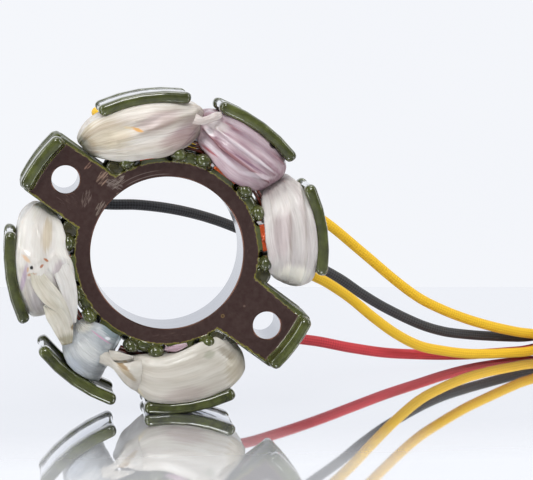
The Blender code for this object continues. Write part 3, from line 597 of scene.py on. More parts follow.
@dataclass(frozen=True)
class VarnishedTape:
    """Fibrous insulating tape, soaked in varnish and drawn tight round a coil.

    Fibres run along the piece's own u; v counts millimetres across them. The varnish leaves a
    satin shine, and where the tape is thin the coil below warms or darkens it. The fold valleys
    are also darkened with painted shade, and the ridges paled with a painted highlight.
    """

    name: str
    light: str
    middle: str
    deep: str
    blush: str
    blush_share: float = 0.4
    shine: float = 0.5
    see_through: float = 0.15
    # The next colour is painted shade laid in the fold valleys, with depth as its strength; the one after is a pale
    # tone that also gives the ridges a painted highlight.
    painted_fold_shade: str = "#9A8A78"
    pale_tone_and_ridge_highlight: str = "#F2EFEA"
    depth: float = 0.7
    grain: float = 0.3
    marks: tuple[tuple[float, float, float, float, float, float, str, str], ...] = ()

    def build(self) -> bpy.types.Material:
        """Build the material, with fibres drawn 0.2 to 0.6 mm apart so that they show.

        Returns:
            The material; its marks are only on the front.
        """
        material, tree, shader = new_material(self.name)
        uv = add_node(tree, "ShaderNodeUVMap", uv_map="weave").outputs[0]
        place = add_node(tree, "ShaderNodeTexCoord").outputs["Object"]
        wander = add_node(tree, "ShaderNodeTexNoise", {"Vector": uv, "Scale": 0.16, "Detail": 2.0})
        moved = add_node(tree, "ShaderNodeVectorMath", {0: wander.outputs["Color"], 1: (0.0, 1.6, 0.0)},
                         operation="MULTIPLY")
        bent = add_node(tree, "ShaderNodeVectorMath", {0: uv, 1: moved.outputs[0]}, operation="ADD").outputs[0]
        along = add_node(tree, "ShaderNodeMapping", {"Vector": bent, "Scale": (0.055, 1.9, 1.0)})
        fibres = add_node(tree, "ShaderNodeTexNoise", {"Vector": along.outputs[0], "Scale": 1.0, "Detail": 6.0,
                                                       "Roughness": 0.62}).outputs["Fac"]
        broad = add_node(tree, "ShaderNodeMapping", {"Vector": bent, "Scale": (0.05, 0.34, 1.0), "Location": (3.1, 1.7, 0.0)})
        bands = add_node(tree, "ShaderNodeTexNoise", {"Vector": broad.outputs[0], "Scale": 1.0, "Detail": 2.0}).outputs["Fac"]
        cloth = ramp(tree, fibres, [(0.28, self.deep), (0.5, self.middle), (0.7, self.light)])
        cloud = add_node(tree, "ShaderNodeMapping", {"Vector": bent, "Scale": (0.16, 0.42, 1.0), "Location": (7.3, 2.9, 0.0)})
        soaked = add_node(tree, "ShaderNodeTexNoise", {"Vector": cloud.outputs[0], "Scale": 1.0, "Detail": 3.0}).outputs["Fac"]
        cloth = mix_colour(tree, 0.3, cloth, ramp(tree, soaked, [(0.35, self.deep), (0.65, self.pale_tone_and_ridge_highlight)]))
        tint = add_node(tree, "ShaderNodeMapRange", {"Value": bands, "From Min": 0.42, "From Max": 0.62,
                                                     "To Max": self.blush_share}, clamp=True).outputs[0]
        colour = mix_colour(tree, tint, cloth, linear(self.blush), "MULTIPLY")
        # Painted shade darkens the fold valleys and a painted highlight pales the ridges, both read from the folds'
        # height.
        fold = add_node(tree, "ShaderNodeAttribute", attribute_name="fold").outputs["Fac"]
        painted_fold_shade = add_node(tree, "ShaderNodeMapRange", {"Value": fold, "From Min": -0.03, "From Max": -0.45,
                                                       "To Max": self.depth}, clamp=True).outputs[0]
        colour = mix_colour(tree, painted_fold_shade, colour, linear(self.painted_fold_shade), "MULTIPLY")
        ridge = add_node(tree, "ShaderNodeMapRange", {"Value": fold, "From Min": 0.12, "From Max": 0.8, "To Max": 0.45},
                         clamp=True).outputs[0]
        colour = mix_colour(tree, ridge, colour, linear(self.pale_tone_and_ridge_highlight))
        split = add_node(tree, "ShaderNodeSeparateXYZ", {0: place})
        front = add_node(tree, "ShaderNodeMapRange", {"Value": split.outputs[1], "From Min": -0.012, "From Max": -0.016},
                         clamp=True).outputs[0]
        for x, z, reach, wide, turn, strength, tone, blend in self.marks:
            share = oval(tree, place, (x, z), (reach, wide), turn, fibres)
            share = maths(tree, "MULTIPLY", maths(tree, "MULTIPLY", share, front), strength)
            colour = mix_colour(tree, share, colour, linear(tone), blend)
        tree.links.new(colour, shader.inputs["Base Color"])
        shader.inputs["Roughness"].default_value = 0.55 - 0.3 * self.shine
        shader.inputs["Specular IOR Level"].default_value = 0.4
        shader.inputs["Subsurface Weight"].default_value = self.see_through
        shader.inputs["Subsurface Scale"].default_value = 0.0012
        shader.inputs["Subsurface Radius"].default_value = (1.0, 0.85, 0.75)
        shader.inputs["Coat Weight"].default_value = self.shine * 0.4
        shader.inputs["Coat Roughness"].default_value = 0.2
        bump = add_node(tree, "ShaderNodeBump", {"Height": fibres, "Strength": self.grain, "Distance": 0.00025})
        tree.links.new(bump.outputs[0], shader.inputs["Normal"])
        return material


@dataclass(frozen=True)
class BraidedCloth:
    """Cotton braid over a lead, lightly varnished: matt, with a fine diamond weave."""

    name: str
    colour: str
    shade: str

    def build(self) -> bpy.types.Material:
        """Build the material; u counts strands round the lead and v diameters along it."""
        material, tree, shader = new_material(self.name)
        uv = add_node(tree, "ShaderNodeUVMap", uv_map="weave").outputs[0]
        split = add_node(tree, "ShaderNodeSeparateXYZ", {0: uv})
        one = maths(tree, "SINE", maths(tree, "MULTIPLY", maths(tree, "ADD", split.outputs[0], split.outputs[1]), math.pi))
        two = maths(tree, "SINE", maths(tree, "MULTIPLY", maths(tree, "SUBTRACT", split.outputs[0], split.outputs[1]), math.pi))
        weave = maths(tree, "MULTIPLY_ADD", maths(tree, "MULTIPLY", one, two), 0.5, 0.5)
        fuzz = add_node(tree, "ShaderNodeTexNoise", {"Vector": uv, "Scale": 3.0, "Detail": 4.0}).outputs["Fac"]
        level_out = maths(tree, "MULTIPLY_ADD", fuzz, 0.7, maths(tree, "MULTIPLY", weave, 0.5))
        colour = ramp(tree, level_out, [(0.3, self.shade), (0.75, self.colour)])
        tree.links.new(colour, shader.inputs["Base Color"])
        shader.inputs["Roughness"].default_value = 0.75
        shader.inputs["Sheen Weight"].default_value = 0.15
        bump = add_node(tree, "ShaderNodeBump", {"Height": level_out, "Strength": 0.5, "Distance": 0.0001})
        tree.links.new(bump.outputs[0], shader.inputs["Normal"])
        return material


@dataclass(frozen=True)
class PlainFinish:
    """A moulded or plated finish with a faint mottle."""

    name: str
    colour: str
    second: str
    roughness: float
    metallic: float = 0.0
    scale: float = 400.0

    def build(self) -> bpy.types.Material:
        """Build the material."""
        material, tree, shader = new_material(self.name)
        place = add_node(tree, "ShaderNodeTexCoord").outputs["Object"]
        tone = add_node(tree, "ShaderNodeTexNoise", {"Vector": place, "Scale": self.scale, "Detail": 4.0})
        colour = ramp(tree, tone.outputs["Fac"], [(0.3, self.colour), (0.7, self.second)])
        tree.links.new(colour, shader.inputs["Base Color"])
        shader.inputs["Roughness"].default_value = self.roughness
        shader.inputs["Metallic"].default_value = self.metallic
        bump = add_node(tree, "ShaderNodeBump", {"Height": tone.outputs["Fac"], "Strength": 0.15,
                                                 "Distance": 0.0001})
        tree.links.new(bump.outputs[0], shader.inputs["Normal"])
        return material


# Stage


@dataclass
class Stage:
    """Pale acrylic table, soft lamps, and the camera at the photograph's place."""

    camera_place: tuple[float, float, float] = (-0.0420, -0.5770, 0.0720)
    camera_way: tuple[float, float, float] = (0.1171, 0.9857, -0.1212)
    lens_mm: float = 155.0
    sensor_mm: float = 36.0
    table_w: float = 2.4
    table_back: float = 0.195
    table_front: float = -1.2
    fill: float = 0.42
    shine: float = 0.24

    def build_camera(self) -> None:
        """Place the camera, level, looking slightly down and to the right."""
        data = bpy.data.cameras.new("camera")
        data.lens = self.lens_mm
        data.sensor_width = self.sensor_mm
        data.sensor_fit = "HORIZONTAL"
        data.clip_start = 0.01
        camera = bpy.data.objects.new("camera", data)
        bpy.context.scene.collection.objects.link(camera)
        camera.location = self.camera_place
        camera.rotation_euler = Vector(self.camera_way).to_track_quat("-Z", "Y").to_euler()
        bpy.context.scene.camera = camera

    def build_table(self) -> None:
        """Lay the mirror-backed white acrylic sheet that the part stands on."""
        bpy.ops.object.select_all(action="DESELECT")
        depth = self.table_back - self.table_front
        bpy.ops.mesh.primitive_plane_add(size=1.0)
        table = bpy.context.active_object
        table.name = "table"
        turn = math.atan2(self.camera_way[0], self.camera_way[1])
        edge = Vector((-0.039, 0.212, 0.0)) + Matrix.Rotation(-turn, 3, "Z") @ Vector((0.15, -depth / 2, 0.0))
        table.scale = (self.table_w, depth, 1.0)
        table.rotation_euler.z = -turn
        table.location = (edge.x, edge.y, FLOOR - 0.02 * MM)
        settle(table)
        material, tree, shader = new_material("white_acrylic")
        place = add_node(tree, "ShaderNodeTexCoord").outputs["Object"]
        haze = add_node(tree, "ShaderNodeTexNoise", {"Vector": place, "Scale": 30.0, "Detail": 3.0})
        away = add_node(tree, "ShaderNodeSeparateXYZ", {0: place}).outputs[1]
        # The colour pales towards the back of the table: painted light, with a faint noise over it.
        share = add_node(tree, "ShaderNodeMapRange", {"Value": away, "From Min": -0.18, "From Max": 0.12}, clamp=True)
        share = maths(tree, "MULTIPLY_ADD", haze.outputs["Fac"], 0.2, share.outputs[0])
        colour = ramp(tree, share, [(0.1, "#EBEDF1"), (1.0, "#F5F6F9")])
        tree.links.new(colour, shader.inputs["Base Color"])
        shader.inputs["Roughness"].default_value = 0.03
        fade = add_node(tree, "ShaderNodeMapRange", {"Value": away, "From Min": -0.078, "From Max": -0.036, "To Min": 0.5, "To Max": 0.94},
                        clamp=True)
        tree.links.new(fade.outputs[0], shader.inputs["Metallic"])
        table.data.materials.append(material)

    def build_backdrop(self) -> None:
        """Stand a white sheet behind the table, which the camera and every shiny face see."""
        bpy.ops.object.select_all(action="DESELECT")
        bpy.ops.mesh.primitive_plane_add(size=1.0, rotation=(math.radians(90), 0.0, 0.0))
        sheet = bpy.context.active_object
        sheet.name = "backdrop"
        sheet.scale = (5.0, 3.0, 1.0)
        sheet.location = (0.2, 1.3, 0.9)
        settle(sheet)
        material, tree, shader = new_material("white_paper")
        tree.nodes.remove(shader)
        path = add_node(tree, "ShaderNodeLightPath")
        place = add_node(tree, "ShaderNodeTexCoord").outputs["Object"]
        haze = add_node(tree, "ShaderNodeTexNoise", {"Vector": place, "Scale": 1.5})
        colour = ramp(tree, haze.outputs["Fac"], [(0.3, "#F3F5FA"), (0.7, "#F6F8FC")])
        seen = maths(tree, "MAXIMUM", path.outputs["Is Camera Ray"], path.outputs["Is Glossy Ray"])
        seen = maths(tree, "MAXIMUM", seen, path.outputs["Is Transmission Ray"])
        power = maths(tree, "MULTIPLY_ADD", seen, 0.45, 0.55)
        glow = add_node(tree, "ShaderNodeEmission", {"Color": colour, "Strength": power})
        output = next(n for n in tree.nodes if n.type == "OUTPUT_MATERIAL")
        tree.links.new(glow.outputs[0], output.inputs["Surface"])
        sheet.data.materials.append(material)
        bpy.ops.object.select_all(action="DESELECT")
        bpy.ops.mesh.primitive_plane_add(size=1.0, rotation=(math.radians(180), 0.0, 0.0))
        roof = bpy.context.active_object
        roof.name = "paper_roof"
        roof.scale = (4.0, 1.6, 1.0)
        roof.location = (0.1, 0.62, 1.25)
        settle(roof)
        roof.data.materials.append(material)

    def build_world(self) -> None:
        """An even, soft surround."""
        world = bpy.data.worlds.new("surround")
        bpy.context.scene.world = world
        world.use_nodes = True
        tree = world.node_tree
        tree.nodes.clear()
        path = add_node(tree, "ShaderNodeLightPath")
        white = add_node(tree, "ShaderNodeBackground", {"Color": linear("#F5F7FB"), "Strength": 1.0})
        dim = maths(tree, "MULTIPLY_ADD", path.outputs["Is Glossy Ray"], self.shine - self.fill, self.fill)
        fill = add_node(tree, "ShaderNodeBackground", {"Color": linear("#F4F6FA"), "Strength": dim})
        both = add_node(tree, "ShaderNodeMixShader", {0: path.outputs["Is Camera Ray"], 1: fill.outputs[0],
                                                      2: white.outputs[0]})
        add_node(tree, "ShaderNodeOutputWorld", {0: both.outputs[0]})

    def build_lamp(self, name: str, place: tuple[float, float, float], size: tuple[float, float],
                   power: float) -> None:
        """Hang one soft rectangular lamp, aimed at the part.

        Args:
            name: the lamp's name.
            place: where it hangs, in metres.
            size: its width and height.
            power: watts.
        """
        data = bpy.data.lights.new(name, "AREA")
        data.shape = "RECTANGLE"
        data.size, data.size_y = size
        data.energy = power
        lamp = bpy.data.objects.new(name, data)
        bpy.context.scene.collection.objects.link(lamp)
        lamp.location = place
        aim = Vector((0.02, 0.0, 0.0)) - Vector(place)
        lamp.rotation_euler = aim.to_track_quat("-Z", "Y").to_euler()

    def build(self) -> None:
        """Build the whole stage."""
        view = bpy.context.scene.view_settings
        view.view_transform = "Standard"
        self.build_camera()
        self.build_table()
        self.build_backdrop()
        self.build_world()
        self.build_lamp("lamp_above", (0.0, 0.02, 0.80), (0.6, 0.14), 2.2)
        self.build_lamp("lamp_front", (-0.12, -0.60, 0.62), (0.32, 0.22), 3.6)
        self.build_lamp("lamp_left", (-0.72, -0.22, 0.30), (0.14, 0.5), 2.0)
        self.build_lamp("lamp_right", (0.76, -0.25, 0.36), (0.14, 0.5), 1.7)


# Leads


@dataclass
class Lead:
    """One braided lead, from its splice sleeve to its cavity in the connector."""

    name: str
    start: tuple[float, float, float]
    way: tuple[float, float, float]
    route: tuple[tuple[float, float, float], ...]
    across: int
    up: int
    strands: int = 12
    sides: int = 24
    ring_step: float = 0.35 * MM

    def path(self) -> list[Vector]:
        """The lead's whole centreline: its route, its turns in the coil and its tail."""
        radius = RING_MEAN_R + self.across * LEAD_PITCH / 2
        low_z = RING_BASE + BUNDLE / 2 + self.up * LEAD_PITCH / 2
        rise = BUNDLE + CLEAR
        first = Vector(self.start)
        points = [first, first + Vector(self.way) * LEAD_D]
        points += [Vector(p) * MM for p in self.route]
        points.append(Vector((RING_X - RING_MEAN_R - BUNDLE / 2 - 2 * CLEAR, RING_Y + radius, low_z)))
        points.append(Vector((RING_X - 0.008, RING_Y + radius, low_z)))
        for turn in range(0, 451, 18):
            share = min(max((turn - 200) / 110.0, 0.0), 1.0)
            lift = rise * share * share * (3 - 2 * share)
            angle = math.radians(90.0 - turn)
            points.append(Vector((RING_X + radius * math.cos(angle), RING_Y + radius * math.sin(angle), low_z + lift)))
        end_x = RING_X + RING_MEAN_R + self.across * 2.3 * MM
        end_y = RING_Y - RING_MEAN_R - TAIL_L
        end_z = FLOOR + HOUSING_SIDE / 2 + self.up * 2.3 * MM
        high_z = low_z + rise
        run = RING_Y - end_y
        side_x = RING_X + radius
        for share, fall, shift in ((0.62, 0.14, 0.0), (0.34, 0.78, 0.45), (0.12, 1.0, 1.0), (-0.14, 1.0, 1.0)):
            points.append(Vector((side_x + (end_x - side_x) * shift, end_y + run * share,
                                  high_z + (end_z - high_z) * fall)))
        return smooth_points(points, self.ring_step)

    def build(self, finish: bpy.types.Material) -> tuple[bpy.types.Object, list[Vector]]:
        """Skin the centreline with a tube whose surface carries the braid.

        Args:
            finish: the braid's material.

        Returns:
            The tube and its centreline.
        """
        line = self.path()
        radius = LEAD_D / 2
        way = (line[1] - line[0]).normalized()
        normal = way.orthogonal().normalized()
        verts: list[Vector] = []
        run = 0.0
        runs = []
        for i, point in enumerate(line):
            after = line[min(i + 1, len(line) - 1)]
            before = line[max(i - 1, 0)]
            tangent = (after - before).normalized()
            normal = (normal - tangent * normal.dot(tangent)).normalized()
            side = tangent.cross(normal)
            if i:
                run += (point - before).length if i == len(line) - 1 else (point - line[i - 1]).length
            runs.append(run)
            for j in range(self.sides):
                angle = math.tau * j / self.sides
                u = self.strands * j / self.sides
                v = run / (1.5 * MM) * 2
                bead = math.sin(math.pi * (u + v)) * math.sin(math.pi * (u - v))
                grown = radius * (0.975 + 0.025 * bead)
                verts.append(point + (normal * math.cos(angle) + side * math.sin(angle)) * grown)
        faces = []
        uvs = []
        for i in range(len(line) - 1):
            for j in range(self.sides):
                k = (j + 1) % self.sides
                faces.append((i * self.sides + j, i * self.sides + k, (i + 1) * self.sides + k, (i + 1) * self.sides + j))
                low_u = self.strands * j / self.sides
                high_u = self.strands * (j + 1) / self.sides
                low_v = runs[i] / (1.5 * MM) * 2
                high_v = runs[i + 1] / (1.5 * MM) * 2
                uvs += [(low_u, low_v), (high_u, low_v), (high_u, high_v), (low_u, high_v)]
        last = (len(line) - 1) * self.sides
        faces.append(tuple(reversed(range(self.sides))))
        faces.append(tuple(range(last, last + self.sides)))
        uvs += [(0.0, 0.0)] * (2 * self.sides)
        tube = mesh_piece(self.name + "_braid", verts, faces, uvs)
        outwards(tube)
        tube.data.materials.append(finish)
        return tube, line


LEADS = (
    Lead("yellow_lead_upper", (0, 0, 0), (0, 0, 0), (
        (-14.8, 9.0, 32.9), (-15.8, 12.2, 33.1), (-14.9, 15.8, 33.0), (-11.0, 18.6, 31.6), (5.0, 21.5, 26.0),
        (20.0, 24.0, 18.5), (34.0, 26.8, 10.0), (46.2, 30.2, 1.9), (56.8, 34.0, -6.9), (66.9, 37.1, -15.5),
        (73.8, 39.3, -20.6), (80.8, 41.6, -24.3), (88.0, 44.6, -27.4), (95.2, 47.3, -29.9),
        (102.6, 50.8, -32.1), (106.4, 52.7, -33.0)), -1, 1),
    Lead("yellow_lead_lower", (0, 0, 0), (0, 0, 0), (
        (33.8, 8.6, -4.6), (38.0, 11.2, -8.6), (44.2, 14.8, -12.2), (51.0, 18.5, -17.0), (57.8, 21.7, -22.8),
        (64.9, 26.0, -28.2), (72.4, 31.5, -32.5), (79.9, 36.7, -34.9), (87.4, 41.2, -36.6), (94.9, 45.3, -37.5),
        (102.4, 49.0, -38.0), (106.4, 51.1, -38.2)), -1, -1),
    Lead("black_lead", (0, 0, 0), (0, 0, 0), (
        (-30.4, 7.8, 6.6), (-27.3, 8.6, 9.6), (-22.6, 9.4, 10.7), (-17.8, 10.0, 10.3), (-13.2, 10.5, 9.6),
        (-5.5, 12.2, 9.2), (3.4, 15.5, 7.7), (12.0, 20.0, 5.2), (20.6, 25.0, 1.7), (35.0, 32.0, -5.3),
        (50.7, 37.4, -14.2), (57.5, 39.2, -19.0), (64.4, 40.8, -23.3), (74.3, 42.7, -28.3), (81.4, 44.8, -30.8),
        (88.7, 47.7, -32.3), (95.9, 50.8, -33.4), (103.4, 54.3, -34.4), (107.3, 56.4, -34.8)), 1, 1),
    Lead("red_lead", (0, 0, 0), (0, 0, 0), (
        (21.0, 10.5, -26.1), (31.0, 17.2, -27.0), (42.2, 22.8, -29.1), (52.1, 26.5, -31.7), (62.7, 31.6, -34.2),
        (73.5, 37.8, -36.0), (80.9, 42.5, -37.1), (88.3, 46.8, -37.9), (95.4, 50.4, -38.3), (103.1, 53.7, -38.5),
        (106.8, 55.2, -38.5)), 1, -1),
)
SLEEVE_D = 3.6 * MM
SLEEVE_L = 10.0 * MM
SLEEVE_Y = 7.1 * MM
SLEEVES = {
    "yellow_lead_upper": (98.2, -0.2 * MM, 33.77 * MM, -1),
    "yellow_lead_lower": (8.2, -4.0 * MM, 31.52 * MM, 1),
    "black_lead": (-171.8, -2.0 * MM, 31.0 * MM, 1),
    "red_lead": (-81.8, 0.0, 28.06 * MM, -1),
}


@dataclass
class Harness:
    """The four leads with their sleeves, ties and connector."""

    braids: dict[str, BraidedCloth] = field(default_factory=lambda: {
        "yellow": BraidedCloth("yellow_braid", "#F4C619", "#D9A405"),
        "black": BraidedCloth("black_braid", "#46474B", "#0E0E10"),
        "red": BraidedCloth("red_braid", "#E04650", "#A31A23"),
    })

    def build(self) -> None:
        finishes = {name: braid.build() for name, braid in self.braids.items()}
        nylon = PlainFinish("natural_nylon", "#DEDCD4", "#ECEAE4", 0.42).build()
        brass = PlainFinish("tinned_brass", "#BFB38E", "#E2DBC4", 0.3, 1.0).build()
        shrink = PlainFinish("shrunk_sleeve", "#1D1D1F", "#2B2B2E", 0.4).build()
        nodes = bpy.data.objects
        for name in ("connector_housing", "coil_tie_front", "coil_tie_rear"):
            nodes[name].data.materials.clear()
            nodes[name].data.materials.append(nylon)
        for i in range(1, 5):
            nodes[f"blade_terminal_{i}"].data.materials.clear()
            nodes[f"blade_terminal_{i}"].data.materials.append(brass)
        end_pieces = [nodes["connector_housing"], nodes["coil_tie_front"], nodes["coil_tie_rear"]]
        end_pieces += [nodes[f"blade_terminal_{i}"] for i in range(1, 5)]
        for number, lead in enumerate(LEADS):
            degrees, across, out, way = SLEEVES[lead.name]
            frame = pole_frame(degrees)
            lead.start = tuple(frame @ Vector((across + way * (SLEEVE_L / 2 + CLEAR), SLEEVE_Y, out)))
            lead.way = tuple(frame.to_3x3() @ Vector((way, 0.0, 0.0)))
            tube, line = lead.build(finishes[lead.name.split("_")[0]])
            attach(tube, "root")
            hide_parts(lead.name)
            if number == 0:
                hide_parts("lead_coil", "lead_tail")
        for name in SLEEVES:
            node = nodes["splice_sleeve_" + name.replace("_lead", "")]
            node.data.materials.clear()
            node.data.materials.append(shrink)


# Core


@dataclass
class Core:
    """Laminations and end plates, with the epoxy coat's rounded edges and the bare machined faces."""

    voxel: float = 0.22 * MM
    kept_share: float = 0.5
    coat_t: float = 0.24 * MM
    edge_r: float = 0.35 * MM
    lip_in: float = 0.35 * MM
    relax: int = 16
    bore_sides: int = 256
    hole_sides: int = 96
    chamfer: float = 0.22 * MM
    pool_degrees: tuple[float, ...] = (75.7, 30.7, 210.7, 255.7)
    lug_margins: tuple[tuple[tuple[float, float], tuple[float, float], float], ...] = (
        ((0.0, 0.0), (0.0, 0.4), -1.45), ((0.0, 1.0), (0.0, 0.4), -1.2))

    def filler(self, radius: float, x: float, z: float, low_y: float, high_y: float, sides: int) -> bpy.types.Object:
        """A plain cylinder along Y, for filling or cutting a hole."""
        bpy.ops.object.select_all(action="DESELECT")
        bpy.ops.mesh.primitive_cylinder_add(vertices=sides, radius=radius, depth=high_y - low_y,
                                            location=(x, (low_y + high_y) / 2, z), rotation=(math.pi / 2, 0.0, 0.0))
        made = bpy.context.active_object
        settle(made)
        return made

    def hole_places(self) -> list[tuple[float, float, float, int]]:
        """Radius, x, z and sides of the bore and the lug holes."""
        places = [(BORE_R, 0.0, 0.0, self.bore_sides)]
        for degrees in LUG_DEGREES:
            centre = pole_frame(degrees) @ Vector((0.0, 0.0, LUG_HOLE_PITCH_R))
            places.append((LUG_HOLE_R, centre.x, centre.z, self.hole_sides))
        return places

    def inside_mm(self, x: float, z: float) -> float:
        """How far a place on the flat face lies inside the bare steel's edge, in millimetres."""
        radius = math.hypot(x, z)
        best = RING_R + 0.25 * MM - radius
        for degrees, (low_side, high_side, end_gap) in zip(LUG_DEGREES, self.lug_margins):
            local = pole_frame(degrees).inverted() @ Vector((x, 0.0, z))
            if local.z <= 0.0:
                continue
            share = min(max((local.z - 22 * MM) / (12 * MM), 0.0), 1.0)
            near, far = low_side if local.x < 0 else high_side
            side = LUG_W / 2 - (near + (far - near) * share) * MM - abs(local.x)
            end = LUG_FACE_R - end_gap * MM - radius
            best = max(best, min(side, end))
        return best / MM

    def blob(self, place: Vector, turn: float, radii: tuple[float, float, float]) -> bpy.types.Object:
        """A rounded lump of epoxy.

        Args:
            place: its centre.
            turn: the angle of its pole, in degrees.
            radii: half sizes across, along Y and outwards, in millimetres.

        Returns:
            The lump, placed.
        """
        bpy.ops.object.select_all(action="DESELECT")
        bpy.ops.mesh.primitive_uv_sphere_add(segments=24, ring_count=14, radius=MM)
        made = bpy.context.active_object
        made.matrix_world = Matrix.Translation(place) @ pole_frame(turn) @ Matrix.Diagonal((*radii, 1.0))
        settle(made)
        return made

    def beads(self, side: Side, outer: float) -> list[bpy.types.Object]:
        """The epoxy beads over the tabs, and the pools in the corners between the poles."""
        proud = side.value
        made = []
        for degrees in WOUND_DEGREES:
            for shift in (-TAB_DEG, TAB_DEG):
                turn = degrees - shift
                centre = pole_frame(turn) @ Vector((0.0, outer + proud * 0.5 * MM, TAB_R + 0.75 * MM))
                made.append(self.blob(centre, turn, (1.95, 2.0, 1.45)))
        for degrees in self.pool_degrees:
            centre = pole_frame(degrees) @ Vector((0.0, outer - proud * 1.6 * MM, RING_R + 1.1 * MM))
            made.append(self.blob(centre, degrees, (3.0, 1.5, 1.5)))
        for degrees in LUG_DEGREES:
            for way in (-1, 1):
                centre = pole_frame(degrees) @ Vector((way * 9.2 * MM, outer - proud * 1.3 * MM, 22.6 * MM))
                made.append(self.blob(centre, degrees, (2.4, 1.0, 2.2)))
        return made

    def coated(self, node: str, side: Side, finish: bpy.types.Material) -> None:
        """Make an end plate: thick rounded epoxy over the stamping, then cut the machined holes."""
        source = bpy.data.objects[node]
        plate = bpy.data.objects.new(node.replace("_plate", "_sheet"), source.data.copy())
        bpy.context.scene.collection.objects.link(plate)
        outer = FRONT if side is Side.FRONT else 0.0
        inner = outer - PLATE_T * side.value
        for vertex in plate.data.vertices:
            if math.hypot(vertex.co.x, vertex.co.z) < 27 * MM and (vertex.co.y - outer) * side.value > 0:
                vertex.co.y = outer
            reach = math.hypot(vertex.co.x, vertex.co.z)
            if 37.2 * MM < reach < 38.4 * MM:
                vertex.co.x *= 1 - self.lip_in / reach
                vertex.co.z *= 1 - self.lip_in / reach
        low_y, high_y = min(outer, inner), max(outer, inner)
        weld = plate.modifiers.new("weld", "WELD")
        weld.merge_threshold = 0.00001
        flat = plate.modifiers.new("flat", "DECIMATE")
        flat.decimate_type = "DISSOLVE"
        flat.angle_limit = math.radians(1)
        edge = plate.modifiers.new("edge", "BEVEL")
        edge.width = self.edge_r
        edge.segments = 3
        edge.limit_method = "ANGLE"
        edge.angle_limit = math.radians(50)
        apply_modifiers(plate)
        added = [self.filler(radius + 1.2 * MM, x, z, low_y, high_y, 48) for radius, x, z, _ in self.hole_places()]
        added += self.beads(side, outer)
        bpy.ops.object.select_all(action="DESELECT")
        for item in [*added, plate]:
            item.select_set(True)
        bpy.context.view_layer.objects.active = plate
        bpy.ops.object.join()
        remesh = plate.modifiers.new("remesh", "REMESH")
        remesh.mode = "VOXEL"
        remesh.voxel_size = self.voxel
        build_up = plate.modifiers.new("coat", "DISPLACE")
        build_up.strength = self.coat_t
        build_up.mid_level = 0.0
        relax = plate.modifiers.new("relax", "SMOOTH")
        relax.factor = 0.5
        relax.iterations = self.relax
        thin = plate.modifiers.new("thin", "DECIMATE")
        thin.ratio = self.kept_share
        apply_modifiers(plate)
        for vertex in plate.data.vertices:
            x, y, z = vertex.co
            proud = (y - outer) * side.value
            if -0.3 * MM < proud < 0.7 * MM:
                bare = min(max(self.inside_mm(x, z) * 2.0, 0.0), 1.0) * min(max((0.7 - proud / MM) / 0.4, 0.0), 1.0)
                vertex.co.y = outer + proud * (1.0 - bare) * side.value
        for radius, x, z, sides in self.hole_places():
            cutter = self.filler(radius + self.chamfer, x, z, low_y - 5 * MM, high_y + 5 * MM, sides)
            cut = plate.modifiers.new("cut", "BOOLEAN")
            cut.operation = "DIFFERENCE"
            cut.solver = "EXACT"
            cut.object = cutter
            apply_modifiers(plate)
            bpy.data.objects.remove(cutter)
        layer = plate.data.attributes.new("inside", "FLOAT", "POINT")
        values = []
        for vertex in plate.data.vertices:
            x, y, z = vertex.co
            proud = abs(y - outer)
            values.append(self.inside_mm(x, z) - max(0.0, proud / MM - 0.15) * 5)
        layer.data.foreach_set("value", values)
        dress(plate, finish, "green_coat", node)
        only(plate)
        bpy.ops.object.shade_smooth_by_angle(angle=math.radians(85))

    def build_stack(self, coat: bpy.types.Material, ground: bpy.types.Material) -> None:
        """Make the bonded laminations: coated flanks, and ends ground bare to run in the flywheel."""
        source = bpy.data.objects["lamination_stack"]
        stack = bpy.data.objects.new("laminations", source.data.copy())
        bpy.context.scene.collection.objects.link(stack)
        weld = stack.modifiers.new("weld", "WELD")
        weld.merge_threshold = 0.00001
        bevel = stack.modifiers.new("bevel", "BEVEL")
        bevel.width = 0.2 * MM
        bevel.segments = 2
        bevel.limit_method = "ANGLE"
        bevel.angle_limit = math.radians(40)
        apply_modifiers(stack)
        dress(stack, coat, "bare_steel", "lamination_stack")
        stack.data.materials.append(ground)
        for polygon in stack.data.polygons:
            x, _, z = polygon.center
            turn = math.degrees(math.atan2(z, x))
            lug = any(abs((turn - degrees + 180) % 360 - 180) < 13 for degrees in LUG_DEGREES)
            reach = math.hypot(x, z)
            radial = abs(polygon.normal.x * x + polygon.normal.z * z) / reach
            side = reach > 38.2 * MM and radial < 0.6 and abs(polygon.normal.y) < 0.5
            polygon.material_index = int((reach > SHOE_R - 0.2 * MM or side) and not lug)
        only(stack)
        bpy.ops.object.shade_smooth_by_angle(angle=math.radians(35))

